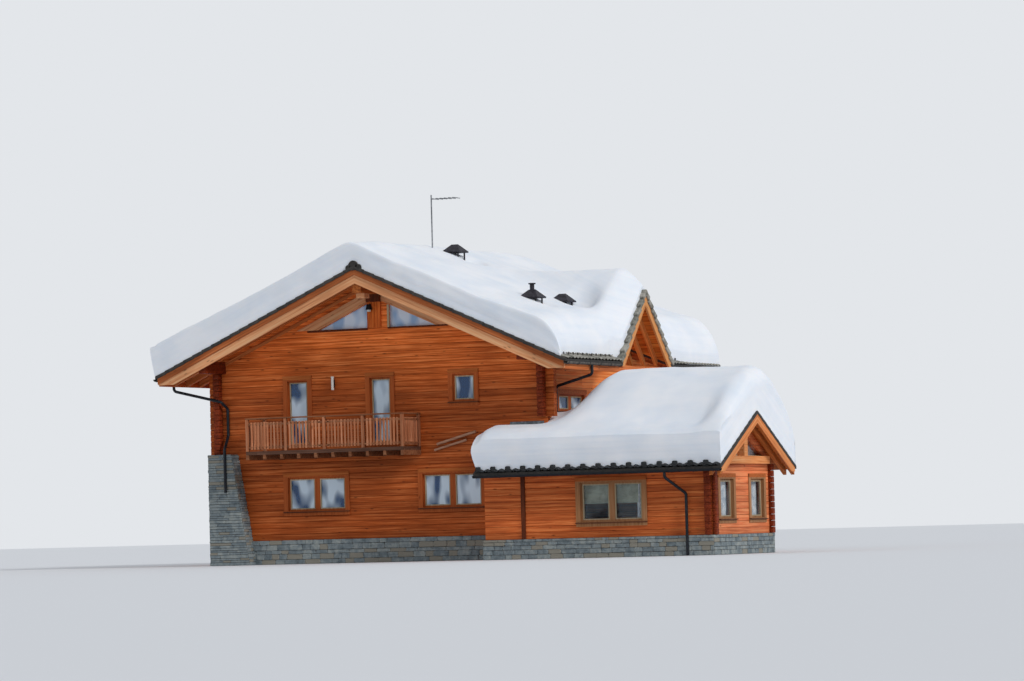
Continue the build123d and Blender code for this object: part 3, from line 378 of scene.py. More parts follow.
@dataclass(frozen=True)
class SplitStone(Finish):
    """Quarry-split gneiss: a matt grey face with a rough break, and one tone a stone."""

    tones: tuple = ("#5A6468", "#757F83", "#969C99")
    warm: str = "#89857A"
    warm_from: float = 0.8
    crystal: float = 45 * MM
    layer: float = 16 * MM

    def paint(self, tree: Tree, shader: Node) -> None:
        """Blotches, thin level layers and a tone from each stone's own number."""
        place, piece = object_place(tree), own_tone(tree)
        blotch = clouds(tree, place, 1 / self.crystal / 4, 5.0, 0.65)
        layered = clouds(tree, stretched(tree, place, (2.0, 2.0, 1 / self.layer)), 1.0, 2.0)
        mixed = maths(tree, "MULTIPLY_ADD", layered, 0.35, blotch)
        toned = maths(tree, "MULTIPLY_ADD", piece, 0.3, mixed)
        colour = ramp(tree, toned, tuple(zip((0.5, 0.75, 1.0), self.tones)))
        warm = maths(tree, "GREATER_THAN", piece, self.warm_from)
        values = {"Roughness": 0.88, "Specular IOR Level": 0.2}
        coat(tree, shader, mixed_colour(tree, warm, colour, linear(self.warm)), values, mixed, 0.8, 8 * MM)


@dataclass(frozen=True)
class Blotched(Finish):
    """A rough mineral or fired surface, such as mortar, render or a weathered tile, with cloudy blotches."""

    dark: str = "#55524D"
    light: str = "#8A857C"
    patch: float = 180 * MM
    grit: float = 6 * MM
    relief: float = 2 * MM
    roughness: float = 0.9

    def paint(self, tree: Tree, shader: Node) -> None:
        """Cloudy patches for colour and grit for relief."""
        place = object_place(tree)
        patches = clouds(tree, place, 1 / self.patch, 4.0, 0.6)
        toned = maths(tree, "MULTIPLY_ADD", own_tone(tree), 0.25, patches)
        colour = ramp(tree, toned, ((0.38, self.dark), (0.8, self.light)))
        grit = clouds(tree, place, 1 / self.grit / 3, 3.0)
        coat(tree, shader, colour, {"Roughness": self.roughness}, grit, 0.6, self.relief)


@dataclass(frozen=True)
class SettledSnow(Finish):
    """Snow that settled over weeks: near white, matt, with faint wind layers on its cut faces."""

    lit: str = "#EBEDF1"
    hollow: str = "#DAE2EC"
    layer: float = 130 * MM
    grain: float = 40 * MM
    fold: Gable = MAIN

    def paint(self, tree: Tree, shader: Node) -> None:
        """Broad faint patches, layers that follow the roof's slope, and a soft grain."""
        place = object_place(tree)
        split = add_node(tree, "ShaderNodeSeparateXYZ", {0: place})
        _, depth = off_ridge(tree, split, self.fold)
        flat = add_node(tree, "ShaderNodeCombineXYZ", {0: split.outputs[0], 1: split.outputs[1], 2: depth})
        layered = clouds(tree, stretched(tree, flat.outputs[0], (0.35, 0.35, 1 / self.layer)), 1.0, 3.0)
        mixed = maths(tree, "MULTIPLY_ADD", layered, 0.5, clouds(tree, place, 0.9, 3.0))
        colour = ramp(tree, mixed, ((0.45, self.hollow), (0.9, self.lit)))
        height = maths(tree, "MULTIPLY_ADD", layered, 1.4, clouds(tree, place, 1 / self.grain, 4.0))
        values = {"Roughness": 0.7, "Subsurface Weight": 0.12, "Subsurface Radius": (0.03, 0.04, 0.05)}
        coat(tree, shader, colour, values, height, 0.3, 8 * MM)


@dataclass(frozen=True)
class CoatedMetal(Finish):
    """Sheet metal or tube under a thin coat, or bare and dull, with faint blotches where it weathered."""

    dark: str = "#0B0F15"
    light: str = "#1A2028"
    metallic: float = 0.0
    roughness: float = 0.42
    patch: float = 90 * MM

    def paint(self, tree: Tree, shader: Node) -> None:
        """Blotches of tone over the coat, and a fine ripple from the rolling."""
        patches = clouds(tree, object_place(tree), 1 / self.patch, 4.0)
        colour = ramp(tree, patches, ((0.35, self.dark), (0.7, self.light)))
        values = {"Metallic": self.metallic, "Specular IOR Level": 0.25, "Roughness": self.roughness}
        coat(tree, shader, colour, values, patches, 0.2, 2 * MM)


@dataclass(frozen=True)
class GlassWithPaintedReflection(Finish):
    """Float glass whose colour holds a painted reflection of a pale winter sky, thin enough to see curtains
    through it.
    """

    low: str = "#254C7A"
    high: str = "#DCEEFC"
    cover: float = 0.8

    def paint(self, tree: Tree, shader: Node) -> None:
        """A painted reflection: soft slanted patches of sky and hill tone in the colour, a hard smooth face and a
        part cover.
        """
        slanted = stretched(tree, object_place(tree), (1.5, 1.0, 0.7), (0.0, 0.6, 0.0))
        colour = ramp(tree, clouds(tree, slanted, 1.3, 1.0), ((0.4, self.low), (0.54, self.high)))
        coat(tree, shader, colour, {"Roughness": 0.04, "IOR": 1.52, "Alpha": self.cover})


@dataclass(frozen=True)
class SheerCloth(Finish):
    """Thin woven polyester voile or lace in soft gathers, pale and slightly open."""

    shade: str = "#A6B8C8"
    light: str = "#F2F6F8"
    motif: float = 60 * MM
    cover: float = 0.92

    def paint(self, tree: Tree, shader: Node) -> None:
        """A lace motif of small cells over a soft tone."""
        place = object_place(tree)
        inputs = {"Vector": place, "Scale": 1 / self.motif}
        cells = add_node(tree, "ShaderNodeTexVoronoi", inputs).outputs["Distance"]
        mixed = maths(tree, "MULTIPLY_ADD", cells, 0.3, clouds(tree, place, 4.0, 2.0))
        colour = ramp(tree, mixed, ((0.4, self.shade), (0.8, self.light)))
        values = {"Roughness": 0.85, "Sheen Weight": 0.2, "Alpha": self.cover}
        coat(tree, shader, colour, values, cells, 0.2, 1 * MM)


@dataclass(frozen=True)
class StudioPaper(Finish):
    """The pale, matt and even paper of the floor."""

    colour: str = "#DDDFE2"

    def paint(self, tree: Tree, shader: Node) -> None:
        """A matt paper with one even tone."""
        shader.inputs["Base Color"].default_value = linear(self.colour)
        shader.inputs["Roughness"].default_value = 0.9


ONE_PIECE = {"board": 10.0, "joint_shade": 1.0}
SHORT = {**ONE_PIECE, "board_length": 10.0}
LONG = {**ONE_PIECE, "board_length": 20.0}
UPRIGHT = {**SHORT, "grain": Axis.Z, "stack": Axis.X}

# The log walls: long orange streaks; the side walls, the cross gable and the annex gable are paler copies of the
# larch that paint the sun on them, and the main gables are painted paler high up, where more light falls
LOG_GRAIN_X = Larch("stained larch logs along the gables", foot=PLINTH_TOP, board_length=60.0,
                    painted_light_from=5.2)
# Painted light: a paler copy of the gables' larch for the sunlit side walls
LOG_GRAIN_Y = Larch("stained larch logs along the sides", ("#C0642B", "#F58A45", "#F7BC78"), Axis.Y,
                    foot=PLINTH_TOP)
# Painted light: a paler copy of the larch for the sunlit cross gable
CROSS_LOGS = Larch("larch logs of the cross gable", ("#AF541D", "#EF8237", "#F7B95F"), Axis.Y, foot=PLINTH_TOP)
ANNEX_LOG_X = Larch("stained larch annex logs", ("#8B3D1F", "#C15F2C", "#ED9052"), board=ANNEX_COURSE,
                    board_length=60.0, foot=ANNEX_BASE_TOP)
# Painted light: a paler copy of the annex front's larch for the sunlit annex gable
ANNEX_LOG_Y = Larch("stained larch annex gable logs", ("#AB5730", "#E47E4E", "#F7AC75"), Axis.Y,
                    board=ANNEX_COURSE, board_length=60.0, foot=ANNEX_BASE_TOP)
# Partly painted shade: the log ends' dark brown is the end grain's own darker tone, darkened further for the shade
# of the corners
LOG_ENDS = Larch("larch log ends", ("#471A0C", "#7C2F15", "#9B4822"), Axis.Y, foot=PLINTH_TOP,
                 streak_length=120 * MM)

# The roof's timber: brown in the eaves' shade, honey-coloured where the light reaches it
BEAM_Y = Larch("larch purlins along the ridge", ("#8E471D", "#C36B32", "#E9914F"), Axis.Y, **ONE_PIECE)
BEAM_Z = Larch("larch posts", ("#8F3D14", "#C96125", "#F78C40"), **UPRIGHT)
DARK_POST = Larch("shaded larch post", ("#3C1C10", "#5A2A16", "#7A3E22"), **UPRIGHT)
TRUSS_WOOD = Larch("light larch annex truss", ("#B8642E", "#F09A5C", "#F7C28C"), Axis.Y, **LONG)
RAFTER_MAIN = Larch("larch rafters of the main roof", ("#8D4721", "#CA733C", "#F4955A"), Axis.X, Axis.Y,
                    fold=MAIN, **LONG)
RAFTER_ANNEX = Larch("larch rafters of the annex", ("#89451C", "#C66E35", "#EF934F"), Axis.Y, Axis.X,
                     fold=ANNEX, **LONG)
RAFTER_CROSS = Larch("larch rafters of the cross gable", ("#AA5C25", "#F29A52", "#F7CB88"), Axis.Y, Axis.X,
                     fold=CROSS, **LONG)
DECK_MAIN = Larch("larch soffit boards of the main roof", ("#864222", "#C56A36", "#F18E4D"), Axis.Y, Axis.X,
                  board=135 * MM, fold=MAIN, joint=6 * MM)
DECK_ANNEX = Larch("larch soffit boards of the annex", ("#803915", "#C0662A", "#EF9044"), Axis.X, Axis.Y,
                   board=135 * MM, fold=ANNEX, joint=6 * MM)
DECK_CROSS = Larch("larch soffit boards of the cross gable", ("#8F4319", "#DB7A31", "#F7B158"), Axis.X, Axis.Y,
                   board=120 * MM, fold=CROSS, joint=6 * MM)
BARGE_LIGHT = Larch("light larch barge boards", ("#BF7A51", "#EEA673", "#F7CF9F"), fold=MAIN, **LONG)
BARGE_DARK = Larch("brown larch barge boards", ("#743A1D", "#B06033", "#D37E4A"), fold=MAIN, **LONG)
BARGE_ANNEX = Larch("light larch annex barge boards", ("#A6572A", "#E68C4F", "#F7B376"), Axis.Y, fold=ANNEX,
                    **LONG)
BARGE_CROSS = Larch("light larch cross gable boards", ("#A96433", "#E1995B", "#F7BF83"), Axis.Y, fold=CROSS,
                    **LONG)

# The joinery: duller rails, decks painted dark as shade, plain frames and pale beads
BALCONY_RAILS = Larch("larch balcony boards", ("#5A3220", "#8A5639", "#AD7B58"), **SHORT)
# Painted shade: the deck boards, their edge and the slab under them are painted dark brown for the shade under the
# deck and behind the rails
DECK_WOOD_IN_PAINTED_SHADE = Larch("larch deck boards in painted shade", ("#3A231B", "#5E4032", "#84604E"), **SHORT)
BALUSTER_WOOD = Larch("larch balusters", ("#7E4833", "#B2704C", "#DB9C79"), tone_range=0.3, **UPRIGHT)
FRAME_WOOD = Larch("larch window frames", ("#9B4920", "#AD5627", "#C06834"), tone_range=0.1, **UPRIGHT)
ANNEX_FRAME_WOOD = Larch("pale larch annex frames", ("#8A5E3C", "#A8764E", "#C0906A"), tone_range=0.1, **UPRIGHT)
CASING_WOOD = Larch("larch casing boards", ("#8D421C", "#B25E29", "#CC7940"), tone_range=0.12, **SHORT)
SILL_WOOD = Larch("weathered larch sills", ("#3E2016", "#5C3422", "#7A4A32"), **SHORT)
BEAD_WOOD = Larch("pale sash beads", ("#8E7A60", "#B3A183", "#D1C0A2"), tone_range=0.1, **UPRIGHT)
POLE_WOOD = Larch("peeled spruce poles", ("#9A6A50", "#C8967A", "#E0BCA0"), **SHORT)
FLOOR_BOARDS = Larch("spruce floor boards", ("#6A4424", "#94683C", "#B08656"), Axis.X, Axis.Y, board=160 * MM)

# Stone, mortar and tiles: cool grey blocks, near-black wet tiles and grey-green mossy ones
STONE = SplitStone("split gneiss blocks")
MORTAR = Blotched("lime mortar", "#4E4F4D", "#6E6E69")
CONCRETE = Blotched("cast concrete floor", "#6E6C68", "#8E8B85", patch=400 * MM)
CHIMNEY_RENDER = Blotched("rough chimney render", "#77736B", "#A7A297")
WET = {"patch": 120 * MM, "grit": 4 * MM, "relief": 1.5 * MM, "roughness": 0.7}
TILE = Blotched("dark wet clay tile", "#1A1815", "#3E3833", **WET)
EAVE_TILE = Blotched("wet black clay tile", "#060708", "#1A1D20", **WET)
MOSSY_TILE = Blotched("weathered grey-green clay tile", "#55554C", "#A09C92", 100 * MM, 4 * MM, 1.5 * MM, 0.8)
SNOW_MAIN = SettledSnow("settled snow of the main roof")
SNOW_ANNEX = SettledSnow("settled snow of the annex", fold=ANNEX)

# Metal, glass and cloth: dull dark sheet, panes with a painted reflection of the sky and pale curtains
GUTTER_METAL = CoatedMetal("dark coated sheet steel")
MAIN_GUTTER_METAL = CoatedMetal("weathered zinc gutter", "#3E3C3A", "#6E6860", roughness=0.6)
CAP_METAL = CoatedMetal("dark brown sheet copper", "#1A181D", "#37343D", roughness=0.6)
ANTENNA_METAL = CoatedMetal("dull aluminium tube", "#6A6C70", "#9A9CA0", 0.9, 0.45)
FLASHING = CoatedMetal("grey zinc flashing", "#565B60", "#7C8288", 0.5, 0.5)
LAMP_METAL = CoatedMetal("black lamp casting", "#0E0E10", "#1C1C20")
LAMP_GLASS = CoatedMetal("opal lamp glass", "#C9C6BE", "#EFEDE6", roughness=0.2)
# Painted reflection: the panes' colours are the sky and the hill mirrored in them
WINDOW_GLASS = GlassWithPaintedReflection("float glass")
ANNEX_GLASS = GlassWithPaintedReflection("clear float glass of the annex", "#3A4650", "#8A9AA2", 0.12)
GABLE_GLASS = GlassWithPaintedReflection("float glass under the ridge", "#94B8E0", "#D8E9FA", 0.96)
VOILE = SheerCloth("voile curtains")
LACE = SheerCloth("lace curtains", "#7E8EA0", "#DDE4EA", 110 * MM)
BLIND_CLOTH = SheerCloth("pleated blind cloth", "#848C7C", "#AEB6A4", 25 * MM, 1.0)
PAPER = StudioPaper("pale studio paper")


def deselect() -> None:
    """Leave edit mode and deselect everything."""
    if bpy.context.mode != "OBJECT":
        bpy.ops.object.mode_set(mode="OBJECT")
    bpy.ops.object.select_all(action="DESELECT")


def activate(piece: Piece) -> None:
    """Select one piece alone and make it active."""
    deselect()
    piece.select_set(True)
    bpy.context.view_layer.objects.active = piece


@contextmanager
def editing(piece: Piece) -> Iterator[None]:
    """Keep one piece in edit mode, all selected at first."""
    activate(piece)
    bpy.ops.object.mode_set(mode="EDIT")
    bpy.ops.mesh.select_all(action="SELECT")
    yield
    bpy.ops.object.mode_set(mode="OBJECT")


def settled() -> Piece:
    """The active piece, with its place, turn and scale taken into its mesh."""
    bpy.ops.object.transform_apply(location=True, rotation=True, scale=True)
    return bpy.context.object


def new_box(name: str, low: Sequence[float], high: Sequence[float], bevel: float = 0.0,
            segments: int = 2) -> Piece:
    """Model a block between two corners, with rounded edges where a bevel is given.

    Args:
        name: The piece's name.
        low: Its lowest corner.
        high: Its highest corner.
        bevel: The width of the rounded edges.
        segments: The faces of each rounded edge.

    Returns:
        The block, with its place in its mesh.
    """
    deselect()
    middle = [(a + b) / 2 for a, b in zip(low, high)]
    size = [b - a for a, b in zip(low, high)]
    bpy.ops.mesh.primitive_cube_add(size=1, location=middle, scale=size)
    piece = settled()
    piece.name = name
    if bevel:
        with editing(piece):
            bpy.ops.mesh.bevel(offset=bevel, segments=segments)
    return piece


def unit_block(name: str, bevel: float = 0.0) -> Piece:
    """Model a block of size 1 round the origin."""
    return new_box(name, (-0.5, -0.5, -0.5), (0.5, 0.5, 0.5), bevel)


def new_rod(name: str, start: Sequence[float], end: Sequence[float], radius: float, sides: int = 20,
            tip: float | None = None) -> Piece:
    """Model a round rod between two points.

    Args:
        name: The piece's name.
        start: The centre of its first end.
        end: The centre of its second end.
        radius: Its radius at the start.
        sides: The faces around it.
        tip: Its radius at the end, where that differs.

    Returns:
        The rod, with its place in its mesh.
    """
    deselect()
    first, last = Vector(start), Vector(end)
    turn = (last - first).to_track_quat("Z", "Y").to_euler()
    bpy.ops.mesh.primitive_cone_add(vertices=sides, radius1=radius, radius2=radius if tip is None else tip,
                                    depth=(last - first).length, location=(first + last) / 2, rotation=turn)
    piece = settled()
    piece.name = name
    bpy.ops.object.shade_smooth_by_angle(angle=math.radians(40))
    return piece


def new_mesh(name: str, points: Sequence, faces: Sequence) -> Piece:
    """Make a piece from points and faces."""
    mesh = bpy.data.meshes.new(name)
    mesh.from_pydata([tuple(point) for point in points], [], [tuple(face) for face in faces])
    mesh.validate()
    piece = bpy.data.objects.new(name, mesh)
    bpy.context.scene.collection.objects.link(piece)
    return piece


def new_prism(name: str, outline: Sequence[Range], front: float, back: float) -> Piece:
    """Model a board that faces the front.

    Args:
        name: The piece's name.
        outline: Its corners in X and Z, taken anticlockwise.
        front: The place of its face along Y.
        back: The place of its back along Y.

    Returns:
        The board.
    """
    count = len(outline)
    points = [(x, y, z) for y in (front, back) for x, z in outline]
    faces = [tuple(range(count)), tuple(range(2 * count - 1, count - 1, -1))]
    faces += [(n, count + n, count + (n + 1) % count, (n + 1) % count) for n in range(count)]
    return new_mesh(name, points, faces)


def thicken(piece: Piece, thickness: float, offset: float = -1.0) -> Piece:
    """Give a sheet its thickness, inward unless the offset says outward."""
    activate(piece)
    thick = piece.modifiers.new("thickness", "SOLIDIFY")
    thick.thickness, thick.offset = thickness, offset
    bpy.ops.object.modifier_apply(modifier=thick.name)
    return piece


def join(name: str, pieces: Sequence[Piece]) -> Piece:
    """Join several pieces into one."""
    deselect()
    for piece in pieces:
        piece.select_set(True)
    bpy.context.view_layer.objects.active = pieces[0]
    if len(pieces) > 1:
        bpy.ops.object.join()
    joined = bpy.context.object
    joined.name = name
    return joined


def laid(name: str, templates: Sequence[Piece], places: Sequence[Matrix], seed: int) -> Piece:
    """Join one copy of a modelled template at each place, with a tone number of its own.

    Args:
        name: The joined piece's name.
        templates: The modelled pieces, taken in turn by chance and removed at the end.
        places: Where each copy stands.
        seed: The seed of the chances.

    Returns:
        The joined copies as one piece.
    """
    chance = random.Random(seed)
    shapes = []
    for template in templates:
        points = np.empty(len(template.data.vertices) * 3)
        template.data.vertices.foreach_get("co", points)
        shapes.append((points.reshape(-1, 3), [tuple(face.vertices) for face in template.data.polygons]))
    points, faces, tones = [], [], []
    count = 0
    for place in places:
        shape, sides = chance.choice(shapes)
        turn = np.array(place)
        points.append(shape @ turn[:3, :3].T + turn[:3, 3])
        flip = -1 if place.determinant() < 0 else 1
        faces += [tuple(corner + count for corner in side[::flip]) for side in sides]
        tones += [chance.random()] * len(sides)
        count += len(shape)
    piece = new_mesh(name, np.concatenate(points).tolist(), faces)
    layer = piece.data.attributes.new("tone", "FLOAT", "FACE")
    layer.data.foreach_set("value", tones)
    for template in templates:
        bpy.data.objects.remove(template)
    return piece


def dress(piece: Piece, finish: Finish, smooth: float = 0, replaced: Sequence[str] = ()) -> None:
    """Finish a new piece and say what it is.

    Args:
        piece: The piece.
        finish: Its finish.
        smooth: The angle in degrees under which its faces shade smooth, where they do.
        replaced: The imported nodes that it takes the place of.
    """
    if smooth:
        activate(piece)
        bpy.ops.object.shade_smooth_by_angle(angle=math.radians(smooth))
    piece.data.materials.clear()
    piece.data.materials.append(finish.material())
    if replaced:
        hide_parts(*replaced)
    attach(piece, "root")
    LOG.info("%s: %d faces", piece.name, len(piece.data.polygons))


def recolour(node: str, finish: Finish) -> None:
    """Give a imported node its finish."""
    material = finish.material()
    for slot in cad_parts[node].material_slots:
        slot.material = material
    LOG.info("%s takes %s", node, finish.name)


def loose_boxes(node: str) -> list[tuple[Vector, Vector]]:
    """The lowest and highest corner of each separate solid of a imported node."""
    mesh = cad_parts[node].data
    keys = [tuple(round(c, 4) for c in point.co) for point in mesh.vertices]
    group = {key: key for key in keys}

    def root(key: tuple) -> tuple:
        """Follow a point to its group's first point."""
        while group[key] != key:
            group[key] = group[group[key]]
            key = group[key]
        return key

    for face in mesh.polygons:
        first = root(keys[face.vertices[0]])
        for corner in face.vertices[1:]:
            group[root(keys[corner])] = first
    boxes: dict[tuple, list] = {}
    for key in group:
        low, high = boxes.setdefault(root(key), [list(key), list(key)])
        for axis in range(3):
            low[axis] = min(low[axis], key[axis])
            high[axis] = max(high[axis], key[axis])
    return [(Vector(low), Vector(high)) for low, high in sorted(boxes.values())]


def scaled_at(middle: Sequence[float], size: Sequence[float]) -> Matrix:
    """The place of a unit block that gets a size."""
    return Matrix.Translation(middle) @ Matrix.Diagonal((*size, 1))


QUARTER_TURN = Matrix.Rotation(math.pi / 2, 4, "Z")


@dataclass
class LogWalls:
    """Walls of stacked logs: each plain wall is cut at its courses and grooved on its outer faces."""

    offsets: tuple = (-22 * MM, -9 * MM, 0.0, 9 * MM, 22 * MM)
    depths: tuple = (0.0, 5 * MM, 15 * MM, 5 * MM, 0.0)
    near: float = 1 * MM
    doubled: float = 0.2 * MM
    corner_reach: float = 250 * MM

    def grooved(self, node: str, foot: float, course: float, planes: Sequence[tuple[Axis, float, int]],
                finish: Finish) -> None:
        """Cut a copy of a wall at each course and press the cut in on its faces.

        Args:
            node: The wall's node.
            foot: The height where the courses start.
            course: The height of a log.
            planes: Each face to groove: its axis, its place and the way out.
            finish: The logs' finish.
        """
        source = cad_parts[node]
        piece = bpy.data.objects.new(f"{node}_logs", source.data.copy())
        bpy.context.scene.collection.objects.link(piece)
        low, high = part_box(node)
        margin = course / 4
        first, last = math.ceil((low[2] + margin - foot) / course), math.floor((high[2] - margin - foot) / course)
        lines = [foot + course * number for number in range(max(first, 0), last + 1)]
        with editing(piece):
            bpy.ops.mesh.remove_doubles(threshold=self.doubled)
            for line in lines:
                for offset in self.offsets:
                    bpy.ops.mesh.select_all(action="SELECT")
                    bpy.ops.mesh.bisect(plane_co=(0, 0, line + offset), plane_no=(0, 0, 1))
            bpy.ops.mesh.select_all(action="DESELECT")
            for axis, place, way in planes:
                for offset, depth in zip(self.offsets, self.depths):
                    if depth:
                        self.choose(piece, axis, place, [line + offset for line in lines])
                        push = Vector((0, 0, 0))
                        push[axis.value] = -way * depth
                        bpy.ops.transform.translate(value=push)
        dress(piece, finish, replaced=(node,))

    def choose(self, piece: Piece, axis: Axis, place: float, heights: Sequence[float]) -> None:
        """Select the points of a face that lie at given heights."""
        shape = bmesh.from_edit_mesh(piece.data)
        levels = np.array(heights)
        for point in shape.verts:
            on_face = abs(point.co[axis.value] - place) < self.near
            point.select = bool(on_face and np.min(np.abs(levels - point.co.z)) < self.near)
        shape.select_flush(True)
        shape.select_flush(False)
        bmesh.update_edit_mesh(piece.data)

    def build(self) -> None:
        """Groove every outer wall."""
        out = HALF_WIDTH + self.corner_reach
        ends = [(Axis.X, -out, -1), (Axis.X, out, 1)]
        gables = (PLINTH_TOP, LOG_COURSE)
        sides = (PLINTH_TOP + LOG_COURSE / 2, LOG_COURSE)
        annex = (ANNEX_BASE_TOP, ANNEX_COURSE)
        for node, courses, planes, finish in (
                ("front_wall_ground", gables, [(Axis.Y, 0.0, -1), *ends], LOG_GRAIN_X),
                ("front_wall_upper", gables, [(Axis.Y, 0.0, -1), *ends], LOG_GRAIN_X),
                ("back_wall_ground", gables, [(Axis.Y, MAIN_DEPTH, 1), *ends], LOG_GRAIN_X),
                ("back_wall_upper", gables, [(Axis.Y, MAIN_DEPTH, 1), *ends], LOG_GRAIN_X),
                ("left_wall", sides, [(Axis.X, -HALF_WIDTH, -1)], LOG_GRAIN_Y),
                ("right_wall", sides, [(Axis.X, HALF_WIDTH, 1)], LOG_GRAIN_Y),
                ("cross_gable_wall", sides, [(Axis.X, HALF_WIDTH, 1)], CROSS_LOGS),
                ("annex_front_wall", annex, [(Axis.Y, ANNEX_FRONT, -1)], ANNEX_LOG_X),
                ("annex_back_wall", annex, [(Axis.Y, ANNEX_BACK, 1)], ANNEX_LOG_X),
                ("annex_left_wall", annex, [(Axis.X, ANNEX_LEFT, -1)], ANNEX_LOG_Y),
                ("annex_gable_wall", annex, [(Axis.X, ANNEX_RIGHT, 1)], ANNEX_LOG_Y)):
            self.grooved(node, *courses, planes, finish)


@dataclass
class LogEnds:
    """Crossed log ends that stand past the corners, one block a course."""

    round_edge: float = 0.12
    gap: float = 6 * MM
    ragged: float = 14 * MM
    annex_proud: float = 130 * MM
    annex_width: float = 200 * MM
    annex_rise: float = 180 * MM

    def column(self, low: Sequence[float], high: Sequence[float], course: float, foot: float,
               chance: random.Random) -> list[Matrix]:
        """The places of a stack of log ends.

        Args:
            low: The stack's lowest corner.
            high: Its highest corner.
            course: The height of a log.
            foot: The height where the courses start.
            chance: The source of their ragged lengths.

        Returns:
            A place for each log end.
        """
        places = []
        level = foot + math.floor((low[2] - foot) / course) * course
        while level < high[2]:
            bottom, top = max(level, low[2]) + self.gap / 2, min(level + course, high[2]) - self.gap / 2
            if top - bottom > course / 4:
                lengthen = chance.uniform(-self.ragged, 0)
                shift = (lengthen if low[1] < 0 else -lengthen) / 2
                places.append(scaled_at(((low[0] + high[0]) / 2, (low[1] + high[1]) / 2 + shift,
                                         (bottom + top) / 2),
                                        (high[0] - low[0], high[1] - low[1] + lengthen, top - bottom)))
            level += course
        return places

    def stack(self, name: str, places: Sequence[Matrix], replaced: Sequence[str] = ()) -> None:
        """Lay worn, rounded blocks at their places."""
        ends = laid(name, [unit_block("log_end", self.round_edge)], places, 7)
        dress(ends, LOG_ENDS, 35, replaced)

    def build(self) -> None:
        """Stack the log ends of the main corners and of the annex corners."""
        chance = random.Random(3)
        places = []
        for low, high in loose_boxes("corner_log_ends"):
            places += self.column(low, high, LOG_COURSE, PLINTH_TOP + LOG_COURSE / 2, chance)
        self.stack("stacked_corner_log_ends", places, ("corner_log_ends",))
        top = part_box("annex_roof_deck")[0][2] + self.annex_rise
        proud, width = self.annex_proud, self.annex_width
        places = []
        for x0, x1, y0, y1 in ((ANNEX_RIGHT - width, ANNEX_RIGHT, ANNEX_FRONT - proud, ANNEX_FRONT),
                               (ANNEX_RIGHT - width, ANNEX_RIGHT, ANNEX_BACK, ANNEX_BACK + proud),
                               (ANNEX_RIGHT, ANNEX_RIGHT + proud, ANNEX_FRONT, ANNEX_FRONT + width),
                               (ANNEX_RIGHT, ANNEX_RIGHT + proud, ANNEX_BACK - width, ANNEX_BACK)):
            places += self.column((x0, y0, ANNEX_BASE_TOP), (x1, y1, top), ANNEX_COURSE, ANNEX_BASE_TOP, chance)
        self.stack("annex_corner_log_ends", places)
        # Painted shade: a dark post in the corner where the annex meets the main house
        post = new_box("annex_joint_post", (HALF_WIDTH - 110 * MM, ANNEX_FRONT - 50 * MM, ANNEX_BASE_TOP),
                       (HALF_WIDTH + 20 * MM, ANNEX_FRONT + 20 * MM, top), bevel=8 * MM)
        dress(post, DARK_POST)


@dataclass(frozen=True)
class Face:
    """An upright stone face: its start on the ground, the way along it and the way out, in X and Y."""

    start: Range
    along: Range
    out: Range


